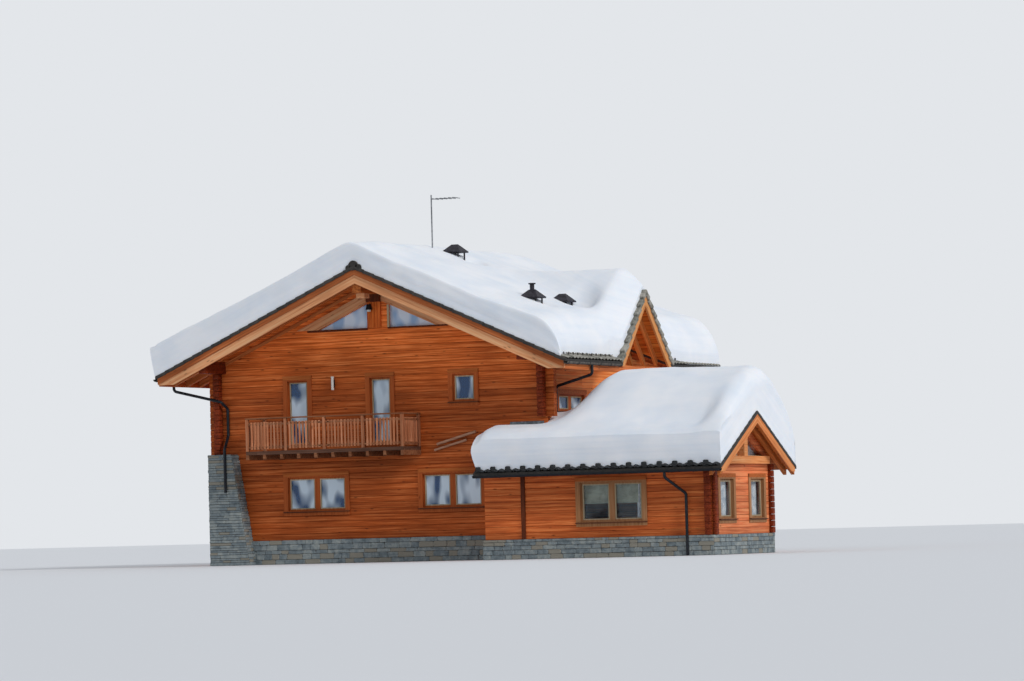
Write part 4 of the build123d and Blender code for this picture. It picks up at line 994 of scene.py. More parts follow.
@dataclass
class StoneWork:
    """Split stones laid in level courses on the faces of the plinths and the buttress."""

    joint: float = 10 * MM
    proud: Range = (8 * MM, 30 * MM)
    sink: float = 60 * MM
    least: float = 20 * MM
    seed: int = 11
    plinth_sizes: tuple = ((110 * MM, 190 * MM), (220 * MM, 560 * MM))
    annex_sizes: tuple = ((90 * MM, 160 * MM), (200 * MM, 520 * MM))
    schist_heights: Range = (60 * MM, 105 * MM)
    schist_lengths: Range = (260 * MM, 800 * MM)
    schist_returns: Range = (150 * MM, 300 * MM)
    buttress_top: float = 830 * MM

    def template(self, number: int) -> Piece:
        """A unit stone with a bulged, uneven face and broken edges."""
        stone = unit_block(f"stone_{number}")
        with editing(stone):
            bpy.ops.mesh.bevel(offset=0.09, segments=1)
            bpy.ops.mesh.subdivide(number_cuts=1)
        chance = random.Random(number)
        for point in stone.data.vertices:
            point.co += Vector([chance.uniform(-reach, reach) for reach in (0.025, 0.06, 0.035)])
        return stone

    def course_places(self, face: Face, ends: Callable[[float], Range], foot: float, top: float, heights: Range,
                      lengths: Range, chance: random.Random) -> list[Matrix]:
        """The places of the stones of one face.

        Args:
            face: The face.
            ends: The face's start and end along its length, by height.
            foot: The face's foot.
            top: The face's top.
            heights: The least and the most height of a course.
            lengths: The least and the most length of a stone.
            chance: The source of sizes.

        Returns:
            A place for each stone.
        """
        start, along, out = (Vector((*part, 0)) for part in (face.start, face.along, face.out))
        turn = Matrix((along, out, Vector((0, 0, 1)))).transposed().to_4x4()
        places = []
        level = foot
        while level < top - self.least:
            height = chance.uniform(*heights)
            if level + height > top - heights[0] / 2:
                height = top - level
            at, last = ends(level + height / 2)
            while at < last - self.least:
                length = chance.uniform(*lengths)
                if at + length > last - lengths[0] / 2:
                    length = last - at
                stand = chance.uniform(*self.proud)
                middle = start + along * (at + length / 2) + out * ((stand - self.sink) / 2)
                middle.z = level + height / 2
                size = Matrix.Diagonal((length - self.joint, self.sink + stand, height - self.joint, 1))
                places.append(Matrix.Translation(middle) @ turn @ size)
                at += length
            level += height
        return places

    def whole(self, face: Face, length: float, top: float, sizes: tuple, chance: random.Random) -> list[Matrix]:
        """The places of the stones of a level face."""
        return self.course_places(face, lambda _: (0.0, length), 0.0, top, *sizes, chance)

    def lay(self, name: str, places: Sequence[Matrix], seed: int) -> None:
        """Lay stones at their places."""
        dress(laid(name, [self.template(number) for number in range(4)], places, seed), STONE)

    def build(self) -> None:
        """Lay the stones of the plinths and of the buttress."""
        chance = random.Random(self.seed)
        (x0, y0, _), (x1, y1, _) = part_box("main_plinth")
        places = []
        for face, length in ((Face((x0, y0), (1, 0), (0, -1)), x1 - x0), (Face((x1, y0), (0, 1), (1, 0)), y1 - y0),
                             (Face((x1, y1), (-1, 0), (0, 1)), x1 - x0),
                             (Face((x0, y1), (0, -1), (-1, 0)), y1 - y0)):
            places += self.whole(face, length, PLINTH_TOP, self.plinth_sizes, chance)
        self.lay("plinth_stones", places, 5)
        (x0, y0, _), (x1, y1, _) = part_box("annex_base")
        places = []
        for face, length in ((Face((x0, y0), (1, 0), (0, -1)), x1 - x0), (Face((x1, y0), (0, 1), (1, 0)), y1 - y0),
                             (Face((x1, y1), (-1, 0), (0, 1)), x1 - HALF_WIDTH)):
            places += self.whole(face, length, ANNEX_BASE_TOP, self.annex_sizes, chance)
        places += self.course_places(Face((x0, 0), (0, -1), (-1, 0)), lambda _: (60 * MM, -y0),
                                     0.0, ANNEX_BASE_TOP,
                                     *self.annex_sizes, chance)
        self.lay("annex_base_stones", places, 6)
        self.buttress(chance)
        for node in ("main_plinth", "annex_base", "corner_buttress"):
            recolour(node, MORTAR)

    def buttress(self, chance: random.Random) -> None:
        """Lay thin schist courses on the buttress, narrower towards its top on the battered side."""
        low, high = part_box("corner_buttress")
        foot_width, depth, top = high[0] - low[0], -low[1], high[2]

        def ends(level: float) -> Range:
            """The front face's ends at a height."""
            return 0.0, foot_width + (self.buttress_top - foot_width) * level / top

        heights, returns = self.schist_heights, self.schist_returns
        places = self.course_places(Face((low[0], low[1]), (1, 0), (0, -1)), ends, 0.0, top, heights,
                                    self.schist_lengths, chance)
        places += self.whole(Face((low[0], 0), (0, -1), (-1, 0)), depth, top, (heights, returns), chance)
        level = 0.0
        while level < top - 50 * MM:
            height = min(chance.uniform(*heights), top - level)
            edge = low[0] + ends(level + height / 2)[1]
            places += self.course_places(Face((edge, low[1]), (0, 1), (1, 0)), lambda _: (0.0, depth), level,
                                         level + height, (height, height), returns, chance)
            level += height
        self.lay("buttress_stones", places, 8)


def clamp(value: float) -> float:
    """A value kept between 0 and 1."""
    return min(max(value, 0.0), 1.0)


def blend(low: float, high: float, value: float) -> float:
    """A smooth step from 0 at low to 1 at high."""
    part = clamp((value - low) / (high - low))
    return part * part * (3 - 2 * part)


def between(points: Sequence[Range], value: float) -> float:
    """Read a curve of straight runs at a value."""
    return float(np.interp(value, [p[0] for p in points], [p[1] for p in points]))


def sunk(away: float, reach: float) -> float:
    """The share by which a rounded edge sinks, from 1 at the edge to 0 at its reach."""
    share = clamp(1 - max(away, 0.0) / reach)
    return 1 - math.sqrt(max(0.0, 1 - share * share))


def spaced(low: float, high: float, step: float, edges: Sequence[float]) -> list[float]:
    """Lines from low to high, about a step apart and closer together at both edges."""
    inner_low, inner_high = low + edges[-1], high - edges[-1]
    count = max(2, round((inner_high - inner_low) / step))
    inner = [inner_low + (inner_high - inner_low) * number / count for number in range(count + 1)]
    return [low + e for e in edges[:-1]] + inner + [high - e for e in reversed(edges[:-1])]


@dataclass
class SnowMass:
    """A body of snow on a roof, from a field of heights with upright faces where it ends."""

    step: float = 85 * MM
    levels: int = 8
    smooth: float = 38
    waves: tuple = ((0.45, 1.7, 0.05), (1.9, 8.2, 0.014), (6.0, 3.1, 0.005))
    bulge: tuple = (1.3, 0.0, 2.2, 30 * MM)
    layers: tuple = (0.3, 9.0, 10 * MM)

    def wave(self, x: float, y: float) -> float:
        """The wind's waves, each with its own scale, seed and height."""
        return sum(noise.noise(Vector((x * scale, y * scale, seed))) * high for scale, seed, high in self.waves)

    def ripple(self, x: float, y: float, share: float) -> float:
        """Bulges and thin layers of an upright face, by the share of its height."""
        scale, seed, rise, high = self.bulge
        bulge = noise.noise(Vector((x * scale, y * scale, seed + share * rise))) * high * math.sin(math.pi * share)
        scale, rise, high = self.layers
        layer = noise.noise(Vector((x * scale, y * scale, share * rise))) * high
        return bulge + layer * math.sin(math.pi * min(share * 1.2, 1))

    def solid(self, name: str, xs: Sequence[float], ys: Sequence[float], inside: Callable[[float, float], bool],
              top: Callable[[float, float], float], under: Callable[[float, float], float],
              lean: Callable[[float, float, float], Vector]) -> Piece:
        """Build the closed mesh of a snow body.

        Args:
            name: The piece's name.
            xs: The grid's lines along X.
            ys: The grid's lines along Y.
            inside: Whether the cell round a point holds snow.
            top: The height of the snow at a point.
            under: The height of the roof at a point.
            lean: How far a point of an upright face moves out, by x, y and its share of the height.

        Returns:
            The snow.
        """
        cells = {(i, j) for i in range(len(xs) - 1) for j in range(len(ys) - 1)
                 if inside((xs[i] + xs[i + 1]) / 2, (ys[j] + ys[j + 1]) / 2)}
        points: list[Vector] = []
        index: dict[tuple[int, int, int], int] = {}
        full = self.levels

        def corner(i: int, j: int, level: int) -> int:
            """The number of the point at a grid crossing and level, made on first use."""
            key = (i, j, level)
            if key not in index:
                x, y, share = xs[i], ys[j], level / full
                roof = under(x, y)
                crest = max(top(x, y), roof + 2 * MM)
                index[key] = len(points)
                points.append(Vector((x, y, roof + (crest - roof) * share)) + lean(x, y, share))
            return index[key]

        faces = []
        for i, j in sorted(cells):
            around = ((i, j), (i + 1, j), (i + 1, j + 1), (i, j + 1))
            faces.append([corner(*place, full) for place in around])
            faces.append([corner(*place, 0) for place in reversed(around)])
            for step_i, step_j, a, b in ((-1, 0, 3, 0), (1, 0, 1, 2), (0, -1, 0, 1), (0, 1, 2, 3)):
                if (i + step_i, j + step_j) not in cells:
                    a, b = around[a], around[b]
                    faces += [(corner(*a, level), corner(*b, level), corner(*b, level + 1), corner(*a, level + 1))
                              for level in range(full)]
        return new_mesh(name, points, faces)


@dataclass
class MainSnow(SnowMass):
    """The snow over the main roof and the cross gable, hollowed beside the chimneys."""

    edges: tuple = (0.0, 15 * MM, 45 * MM, 90 * MM, 160 * MM)
    depths: tuple = ((-7.4, 1.05), (-6.6, 1.04), (-4.4, 0.94), (-3.3, 0.9), (-0.3, 0.9), (0.6, 0.76), (1.4, 0.73),
                     (2.3, 0.77), (4.3, 0.78), (5.7, 0.88), (6.4, 0.96), (7.2, 1.0))
    ridge_round: float = 0.32
    swell: float = 0.2
    back_swell: float = 0.12
    right_set: float = 0.32
    right_round: float = 1.0
    right_stretch: float = 2.2
    drift_crest: float = 0.75
    drift_side: float = 1.0
    drift_round: float = 0.8
    soft: float = 0.34
    left_lip: float = 20 * MM
    left_lean: float = 165 * MM
    front_set: float = 30 * MM
    edge_round: float = 110 * MM
    hollows: tuple = ((1.45, 3.95, 0.36, 0.22), (5.62, 3.08, 0.5, 0.42), (5.4, 0.95, 0.3, 0.1))

    def right_edge(self, y: float) -> float:
        """Where the snow ends on the right at a place along the ridge."""
        near = 1 - blend(CROSS_HALF - 0.35, CROSS_HALF + 0.1, abs(y - CROSS_CENTRE))
        front, back = 1 - blend(ROOF_FRONT, ROOF_FRONT + 0.9, y), blend(6.5, 8.0, y)
        return ROOF_HALF - self.right_set + 0.23 * near + 0.11 * front + 0.27 * back * (1 - near)

    def roof(self, x: float, y: float) -> float:
        """The tile surface, with the cross gable's roof where it is higher."""
        main = MAIN.height(x)
        return main if x < 0 else max(main, CROSS.height(y))

    def top(self, x: float, y: float) -> float:
        """The snow's surface."""
        depth = between(self.depths, x) - MAIN.slope * (math.hypot(x, self.ridge_round) - abs(x))
        depth += self.swell * blend(-1.4, 0.6, y) * blend(-1.5, 1.0, x)
        depth += self.back_swell * blend(5.5, 9.0, y) * blend(2.0, 5.5, x)
        part = clamp((x - self.right_edge(y)) / self.right_round + 1)
        rounded = math.sqrt(1 - (0.97 * part) ** 2.4)
        surface = MAIN.height(x) + depth * rounded
        over = self.drift(x, y) - surface
        surface += 0.5 * (over + math.hypot(over, self.soft)) * blend(0.3, 1.8, x)
        for hollow_x, hollow_y, reach, sink in self.hollows:
            surface -= sink * math.exp(-(math.hypot(x - hollow_x, y - hollow_y) / reach) ** 4)
        surface += self.wave(x, y) * rounded
        return max(surface - self.roundover(x, y), self.roof(x, y) + 4 * MM)

    def drift(self, x: float, y: float) -> float:
        """The drift over the cross gable: level along its crest, and cut back slantwise at the verge."""
        away = abs(y - CROSS_CENTRE)
        tile = CROSS.height(y) + 0.1
        full = CROSS.ridge + self.drift_crest - self.drift_side * (math.hypot(max(away - 0.1, 0.0), 0.3) - 0.3)
        part = clamp((x - CROSS_FACE + 0.02) / self.drift_round + 1)
        return tile + (full - tile) * (1 - part ** 1.4)

    def roundover(self, x: float, y: float) -> float:
        """How far the surface sinks towards a crisp outer edge."""
        left, front, back = x + ROOF_HALF + self.left_lip, y - ROOF_FRONT, ROOF_BACK - y
        aways = (left, front - self.front_set, back - self.front_set)
        return sum(self.edge_round * 0.6 * sunk(away, self.edge_round) for away in aways)

    def lean(self, x: float, y: float, share: float) -> Vector:
        """Bulges of the upright faces, and the left end's lean over the gutter."""
        move = Vector((0, 0, 0))
        ripple = self.ripple(x, y, share)
        if x <= -ROOF_HALF - self.left_lip + MM:
            move.x -= max(ripple, 0.0) * 0.3 + self.left_lean * share ** 0.8
        if y <= ROOF_FRONT + self.front_set + MM:
            move.y -= ripple
        if y >= ROOF_BACK - self.front_set - MM:
            move.y += ripple
        return move

    def build(self) -> None:
        """Lay the snow of the main roof."""
        last = ROOF_HALF - self.right_set
        bend = last - self.right_stretch
        xs = spaced(-ROOF_HALF - self.left_lip, last, self.step, self.edges)
        ys = spaced(ROOF_FRONT + self.front_set, ROOF_BACK - self.front_set, self.step, self.edges)

        def drawn(x: float, y: float) -> float:
            """Draw the last stretch of the grid out to the snow's own edge."""
            return x if x <= bend else bend + (x - bend) * (self.right_edge(y) - bend) / (last - bend)

        piece = self.solid("main_roof_snow_mass", xs, ys, lambda x, y: True,
                           lambda x, y: self.top(drawn(x, y), y), lambda x, y: self.roof(drawn(x, y), y),
                           lambda x, y, share: self.lean(x, y, share) + Vector((drawn(x, y) - x, 0, 0)))
        dress(piece, SNOW_MAIN, self.smooth, ("main_roof_snow", "cross_gable_snow"))


@dataclass
class AnnexSnow(SnowMass):
    """The snow over the annex: a deep, wind-scooped bank that sinks towards the main house."""

    edges: tuple = (0.0, 20 * MM, 60 * MM, 130 * MM)
    waves: tuple = ((0.5, 4.1, 0.05), (2.0, 2.2, 0.012), (6.5, 5.1, 0.004))
    bulge: tuple = (1.2, 3.0, 2.0, 30 * MM)
    layers: tuple = (0.3, 9.0, 12 * MM)
    front_depth: float = 1.12
    crest: float = 5.7
    crest_back: float = 0.7
    deep_from: float = 6.1
    deep_to: float = 7.85
    end_lean: float = 0.18
    left_set: float = 0.12
    front_set: float = 0.09
    scoop: float = 0.34
    end_sink: float = 0.62

    def top(self, x: float, y: float) -> float:
        """The snow's surface."""
        (left, eave, _), (right, back, _) = ANNEX_TILES
        left, front = left + self.left_set, eave + self.front_set
        front_top = ANNEX.height(eave) + self.front_depth
        crest_y = ANNEX_RIDGE_Y + self.crest_back
        if y <= crest_y:
            run = (y - front) / (crest_y - front)
            deep = front_top + (self.crest - front_top) * (0.35 * run + 0.65 * math.sin(run * math.pi / 2))
        else:
            deep = self.crest - (self.crest - front_top - 0.3) * ((y - crest_y) / (back - crest_y)) ** 1.6
        hollow = math.exp(-((y + 1.35) / 0.62) ** 2) * blend(6.4, 10.5, x) * (1 - blend(11.5, 12.2, x))
        deep -= self.scoop * hollow
        banks = ((front, -0.02), (front + 0.35, 0.2), (front + 0.85, 0.34), (0.0, 0.37))
        profile = [(place, front_top + rise) for place, rise in banks]
        profile += [(ANNEX_RIDGE_Y, ANNEX.ridge + 0.17), (back, ANNEX.height(back) + 0.4)]
        shallow = between(profile, y)
        surface = shallow + (deep - shallow) * blend(self.deep_from, self.deep_to, x) + self.wave(x, y)
        end_sink = self.end_sink * blend(-2.2, -0.6, y)
        for away, reach, sink in ((y - front, 0.16, 0.09), (x - left, 0.34, 0.2), (right - x, 0.2, 0.08),
                                  (right - x, 0.6, end_sink), (back - y, 0.4, 0.3)):
            surface -= sink * sunk(away, reach)
        return max(surface, ANNEX.height(y) + 30 * MM)

    def lean(self, x: float, y: float, share: float) -> Vector:
        """Bulges of the upright faces, and the left end's lean."""
        move = Vector((0, 0, 0))
        ripple = self.ripple(x, y, share)
        if x <= ANNEX_TILES[0][0] + self.left_set + MM:
            move.x -= self.end_lean * math.sin(share * math.pi * 0.62) + ripple
        if x >= ANNEX_TILES[1][0] - MM:
            move.x += ripple - 0.04
        if y <= ANNEX_TILES[0][1] + self.front_set + MM:
            move.y -= ripple + 0.05 * math.sin(share * math.pi * 0.7)
        if y >= ANNEX_TILES[1][1] - MM:
            move.y += ripple - 0.02
        return move

    def build(self) -> None:
        """Lay the snow of the annex, round the corner of the main house."""
        (x0, y0, _), (x1, y1, _) = ANNEX_TILES
        drop = 1 - len(self.edges)
        xs = spaced(x0 + self.left_set, HALF_WIDTH, self.step, self.edges)[:drop]
        xs += [HALF_WIDTH] + spaced(HALF_WIDTH, x1, self.step, self.edges)[1:]
        ys = spaced(y0 + self.front_set, 0.0, self.step, self.edges)[:drop]
        ys += [0.0] + spaced(0.0, y1, self.step, self.edges)[1:]
        piece = self.solid("annex_roof_snow_mass", xs, ys, lambda x, y: x > HALF_WIDTH or y < 0, self.top,
                           lambda x, y: ANNEX.height(y), self.lean)
        dress(piece, SNOW_ANNEX, self.smooth, ("annex_roof_snow",))


@dataclass
class RoofEdges:
    """Tiles that show at the verges and the eaves, the ridge tiles and the snow stops."""

    verge_size: tuple = (380 * MM, 110 * MM, 95 * MM)
    verge_pitch: float = 335 * MM
    tile_width: float = 235 * MM
    tile_length: float = 420 * MM
    tile_rise: float = 38 * MM
    tile_slip: float = 12 * MM
    ridge_radius: float = 150 * MM
    ridge_length: float = 440 * MM
    ridge_pitch: float = 390 * MM
    verge_set: float = 60 * MM
    stop_sink: float = 15 * MM

    def verge_tile(self) -> Piece:
        """A verge tile: a rounded cover with one end lifted over its neighbour."""
        length, width, height = self.verge_size
        tile = new_box("verge_tile", (-length / 2, -width / 2, -height), (length / 2, width / 2, 6 * MM), 12 * MM)
        for point in tile.data.vertices:
            point.co.z += 0.045 * point.co.x
        return tile

    def curved_tile(self) -> Piece:
        """A curved clay tile: one wave across its width, a thick lower end."""
        deselect()
        bpy.ops.mesh.primitive_grid_add(x_subdivisions=2, y_subdivisions=9, size=1)
        tile = bpy.context.object
        for point in tile.data.vertices:
            x, y, _ = point.co
            wave = self.tile_rise * (0.5 - 0.5 * math.cos((y + 0.5) * 2 * math.pi))
            point.co = Vector((x * self.tile_length, y * self.tile_width, wave + 0.035 * x))
        return thicken(tile, 16 * MM, 1.0)

    def ridge_tile(self) -> Piece:
        """A half-round ridge tile, wider at the end that laps over the next."""
        deselect()
        bpy.ops.mesh.primitive_cylinder_add(vertices=20, radius=self.ridge_radius, depth=self.ridge_length,
                                            end_fill_type="NOTHING", rotation=(math.pi / 2, 0, 0))
        tile = settled()
        with editing(tile):
            bpy.ops.mesh.bisect(plane_co=(0, 0, -45 * MM), plane_no=(0, 0, 1), clear_inner=True)
        for point in tile.data.vertices:
            widen = 1.0 + 0.12 * (0.5 - point.co.y / self.ridge_length)
            point.co.x *= widen
            point.co.z *= widen
        return thicken(tile, 22 * MM)

    def slope_places(self, roof: Gable, side: int, aways: tuple[float, float, float], level: float,
                     drop: float = 0.0, tilt: float = 0.0) -> list[Matrix]:
        """Places down one slope of a roof.

        Args:
            roof: The roof.
            side: The slope, -1 or 1 across the ridge.
            aways: The level distance from the ridge of the first copy and of the last, and their pitch.
            level: The place along the ridge.
            drop: How far under the tile surface.
            tilt: An extra turn of each copy, in radians.

        Returns:
            A place for each copy, with its X axis down the slope.
        """
        first, last, pitch = aways
        count = round((last - first) / pitch)
        tipped = Matrix.Rotation(math.atan(roof.slope) + tilt, 4, "Y")
        facing = Matrix.Rotation(math.pi * (side < 0), 4, "Z")
        if roof.across is Axis.Y:
            facing = Matrix.Rotation(side * math.pi / 2, 4, "Z")
        places = []
        for number in range(count + 1):
            place = roof.centre + side * (first + (last - first) * number / max(count, 1))
            middle = [level, level, roof.height(place) - drop]
            middle[roof.across.value] = place
            places.append(Matrix.Translation(middle) @ facing @ tipped)
        return places

    def build(self) -> None:
        """Lay the edge tiles of all the roofs."""
        reach = self.verge_size[0] / 2
        places = []
        for level in (ROOF_FRONT + 40 * MM, ROOF_BACK - self.verge_set):
            for side in (-1, 1):
                places += self.slope_places(MAIN, side, (reach, ROOF_HALF - reach, self.verge_pitch), level)
        dress(laid("main_verge_tiles", [self.verge_tile()], places, 21), TILE, 35)

        places = []
        level = ANNEX_TILES[1][0] - self.verge_set
        for side in (-1, 1):
            places += self.slope_places(ANNEX, side, (reach, ANNEX_HALF - reach, self.verge_pitch), level,
                                        -self.tile_slip)
        dress(laid("annex_verge_tiles", [self.verge_tile()], places, 22), TILE, 35)

        places = []
        for side in (-1, 1):
            places += self.slope_places(CROSS, side, (80 * MM, CROSS_HALF - 120 * MM, 255 * MM),
                                        CROSS_FACE - self.verge_set, 0.0, -0.2)
        tile = new_box("cross_verge_tile", (-0.2, -0.1, -0.09), (0.2, 0.09, 0.06), 35 * MM, 3)
        dress(laid("cross_gable_verge_tiles", [tile], places, 23), MOSSY_TILE, 35)
        self.eaves()
        self.ridges()
        self.stops()

    def rows(self, first: float, last: float, margin: float = 100 * MM) -> list[float]:
        """The middles of tiles side by side along an eave."""
        count = round((last - first - 2 * margin) / self.tile_width)
        return [first + margin + self.tile_width * (number + 0.5) for number in range(count)]

    def eaves(self) -> None:
        """Two courses of curved tiles along the main eaves, and one along the annex's."""
        reach = self.tile_length / 2
        away = ROOF_HALF + 25 * MM - reach * math.cos(math.atan(MAIN.slope))
        places = []
        for level in self.rows(ROOF_FRONT, ROOF_BACK):
            for side in (-1, 1):
                if side < 0 or abs(level - CROSS_CENTRE) >= CROSS_HALF - 0.1:
                    places += self.slope_places(MAIN, side, (away - 0.33, away, 0.33), level,
                                                -self.tile_slip, -0.03)
        dress(laid("main_eave_tiles", [self.curved_tile()], places, 24), MOSSY_TILE, 50)
        away = ANNEX_HALF + 20 * MM - reach * math.cos(math.atan(ANNEX.slope))
        places = []
        for level in self.rows(ANNEX_TILES[0][0], ANNEX_TILES[1][0]):
            for side in (-1, 1):
                if side < 0 or level >= HALF_WIDTH + 0.1:
                    places += self.slope_places(ANNEX, side, (away, away, 1.0), level, -self.tile_slip, -0.03)
        dress(laid("annex_eave_tiles", [self.curved_tile()], places, 25), EAVE_TILE, 50)

    def ridges(self) -> None:
        """Ridge tiles, and the plugs of their front end."""
        count = round((ROOF_BACK - ROOF_FRONT - self.ridge_length) / self.ridge_pitch)
        start = ROOF_FRONT + self.ridge_length / 2 - 20 * MM
        run = ROOF_BACK - self.ridge_length / 2 - 20 * MM - start
        places = [Matrix.Translation((0, start + run * number / count, MAIN.ridge - 10 * MM))
                  for number in range(count + 1)]
        front, back = ROOF_FRONT - 10 * MM, ROOF_FRONT + 220 * MM
        plugs = []
        for x, radius in ((-0.02, 0.15), (0.17, 0.11), (-0.18, 0.09)):
            height = MAIN.height(x) + 10 * MM
            plugs.append(new_rod("ridge_end", (x, front, height), (x, back, height), radius))
        tiles = laid("ridge_tiles", [self.ridge_tile()], places, 26)
        dress(tiles, TILE, 50, ("ridge_cap",))
        dress(join("ridge_end_tiles", plugs), TILE)

    def stops(self) -> None:
        """Snow stops: small arched lugs on the tiles along the eaves."""
        lug = new_box("lug", (-0.025, -0.085, -0.05), (0.025, 0.085, 0.16), 40 * MM, 3)
        away = ANNEX_HALF - 30 * MM
        places = []
        level = ANNEX_TILES[0][0] + 0.16
        while level < ANNEX_TILES[1][0] - 0.1:
            places += self.slope_places(ANNEX, -1, (away, away, 1.0), level, -self.stop_sink,
                                        -math.atan(ANNEX.slope))
            level += 0.5
        dress(laid("annex_snow_stops", [lug], places, 27), EAVE_TILE, 35)
        lug = new_box("lug", (-0.012, -0.03, -0.05), (0.012, 0.03, 0.12), 8 * MM, 1)
        away = ROOF_HALF - 0.2
        places = []
        level = ROOF_FRONT + 0.3
        while level < ROOF_BACK - 0.1:
            if abs(level - CROSS_CENTRE) > 2.1:
                places += self.slope_places(MAIN, 1, (away, away, 1.0), level, -self.stop_sink,
                                            -math.atan(MAIN.slope))
            level += 0.33
        dress(laid("main_snow_stops", [lug], places, 28), TILE)


@dataclass
class Balcony:
    """The balcony's boards, rails, posts and shaped balusters in place of the plain ones."""

    board: float = 143 * MM
    board_gap: float = 6 * MM
    board_thick: float = 34 * MM
    fascia: float = 30 * MM
    bays: int = 4
    hand_rail: tuple = (55 * MM, 45 * MM)
    cross_rail: tuple = (32 * MM, 60 * MM)
    wall_gap: float = 2 * MM
    baluster_size: tuple = (72 * MM, 24 * MM)
    front_balusters: int = 10
    side_balusters: int = 8

    def __post_init__(self) -> None:
        """Read the places that all the balcony's pieces share."""
        (self.left, self.edge, self.foot), (self.right, self.back, self.floor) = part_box("balcony_deck")
        low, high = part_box("balcony_railing")
        self.front, self.post = (low[1] + high[1]) / 2, high[1] - low[1]
        self.deck_top, self.rail_top = low[2], high[2]
        self.low_rail, self.high_rail = self.deck_top + 90 * MM, self.rail_top - 230 * MM
        self.pitch = (self.right - self.left - self.post) / self.bays

    def baluster(self) -> Piece:
        """A unit baluster that is a little waisted."""
        piece = unit_block("baluster")
        with editing(piece):
            for level in (-0.34, -0.24, 0.24, 0.34):
                bpy.ops.mesh.select_all(action="SELECT")
                bpy.ops.mesh.bisect(plane_co=(0, 0, level), plane_no=(0, 0, 1))
        for point in piece.data.vertices:
            if abs(point.co.z) < 0.3:
                point.co.x *= 0.74
        return piece

    def build(self) -> None:
        """Replace the balcony's plain nodes."""
        self.deck()
        self.posts()
        self.rails()
        self.balusters()
        recolour("balcony_joists", BALCONY_RAILS)

    def deck(self) -> None:
        """Boards side by side, a board on their front edge and the slab under them."""
        start = self.edge + self.fascia
        depth = self.back - start
        count = round(depth / (self.board + self.board_gap))
        width = depth / count - self.board_gap
        boards = []
        for number in range(count):
            y = start + depth * number / count
            boards.append(new_box("deck_board", (self.left, y, self.floor - self.board_thick),
                                  (self.right, y + width, self.floor), 3 * MM, 1))
        boards.append(new_box("deck_edge", (self.left, self.edge, self.foot), (self.right, start, self.floor),
                              4 * MM, 1))
        boards.append(new_box("deck_beam", (self.left, start, self.foot),
                              (self.right, self.back - 20 * MM, self.floor - self.board_thick - 2 * MM)))
        # painted shade: the deck's dark brown stands for the shade under it
        dress(join("balcony_deck_boards", boards), DECK_WOOD_IN_PAINTED_SHADE, replaced=("balcony_deck",))

    def posts(self) -> None:
        """Square posts along the front and against the wall."""
        half, top = self.post / 2, self.rail_top - self.hand_rail[1]
        posts = []
        for number in range(self.bays + 1):
            x = self.left + self.pitch * number
            posts.append(new_box("post", (x, self.front - half, self.deck_top),
                                 (x + self.post, self.front + half, top), 6 * MM))
        for x in (self.left, self.right - self.post):
            posts.append(new_box("wall_post", (x, -self.post, self.deck_top), (x + self.post, -self.wall_gap, top),
                                 6 * MM))
        dress(join("balcony_posts", posts), BALUSTER_WOOD, 35)

    def rails(self) -> None:
        """Hand rails, and two cross rails under each of them."""
        (wide, thick), (thin, tall), half, top = self.hand_rail, self.cross_rail, self.post / 2, self.rail_top
        feet = (self.low_rail, self.high_rail)
        rails = [new_box("hand_rail", (self.left - 10 * MM, self.front - wide, top - thick),
                         (self.right + 10 * MM, self.front + wide, top), 12 * MM, 3)]
        for foot in feet:
            rails.append(new_box("cross_rail", (self.left + self.post, self.front - thin, foot),
                                 (self.right - self.post, self.front + thin, foot + tall), 6 * MM))
        for x in (self.left + half, self.right - half):
            rails.append(new_box("side_hand_rail", (x - wide, self.front, top - thick),
                                 (x + wide, -self.wall_gap, top - 1 * MM), 12 * MM, 3))
            for foot in feet:
                rails.append(new_box("side_rail", (x - thin, self.front + half, foot),
                                     (x + thin, -self.post, foot + tall), 6 * MM))
        dress(join("balcony_rails", rails), BALCONY_RAILS, 35)

    def balusters(self) -> None:
        """Balusters in each bay of the front and along both ends."""
        tall = self.cross_rail[1]
        height = self.high_rail + tall - self.low_rail
        middle = self.low_rail + height / 2
        size = (*self.baluster_size, height + tall)
        places = []
        step = (self.pitch - self.post) / (self.front_balusters + 1)
        for bay in range(self.bays):
            start = self.left + self.pitch * bay + self.post
            places += [scaled_at((start + step * (number + 1), self.front - 20 * MM, middle), size)
                       for number in range(self.front_balusters)]
        start = self.front + self.post / 2
        clear = -self.post - start
        for x in (self.left + self.post / 2, self.right - self.post / 2):
            for number in range(self.side_balusters):
                y = start + clear * (number + 1) / (self.side_balusters + 1)
                places.append(Matrix.Translation((x, y, middle)) @ QUARTER_TURN @ Matrix.Diagonal((*size, 1)))
        piece = laid("balcony_balusters", [self.baluster()], places, 31)
        dress(piece, BALUSTER_WOOD, replaced=("balcony_railing", "balcony_railing_ends"))


class Covering(Enum):
    """What hangs behind a pane."""

    VOILE = "voile_curtains"
    LACE = "lace_curtains"
    BLIND = "pleated_blinds"


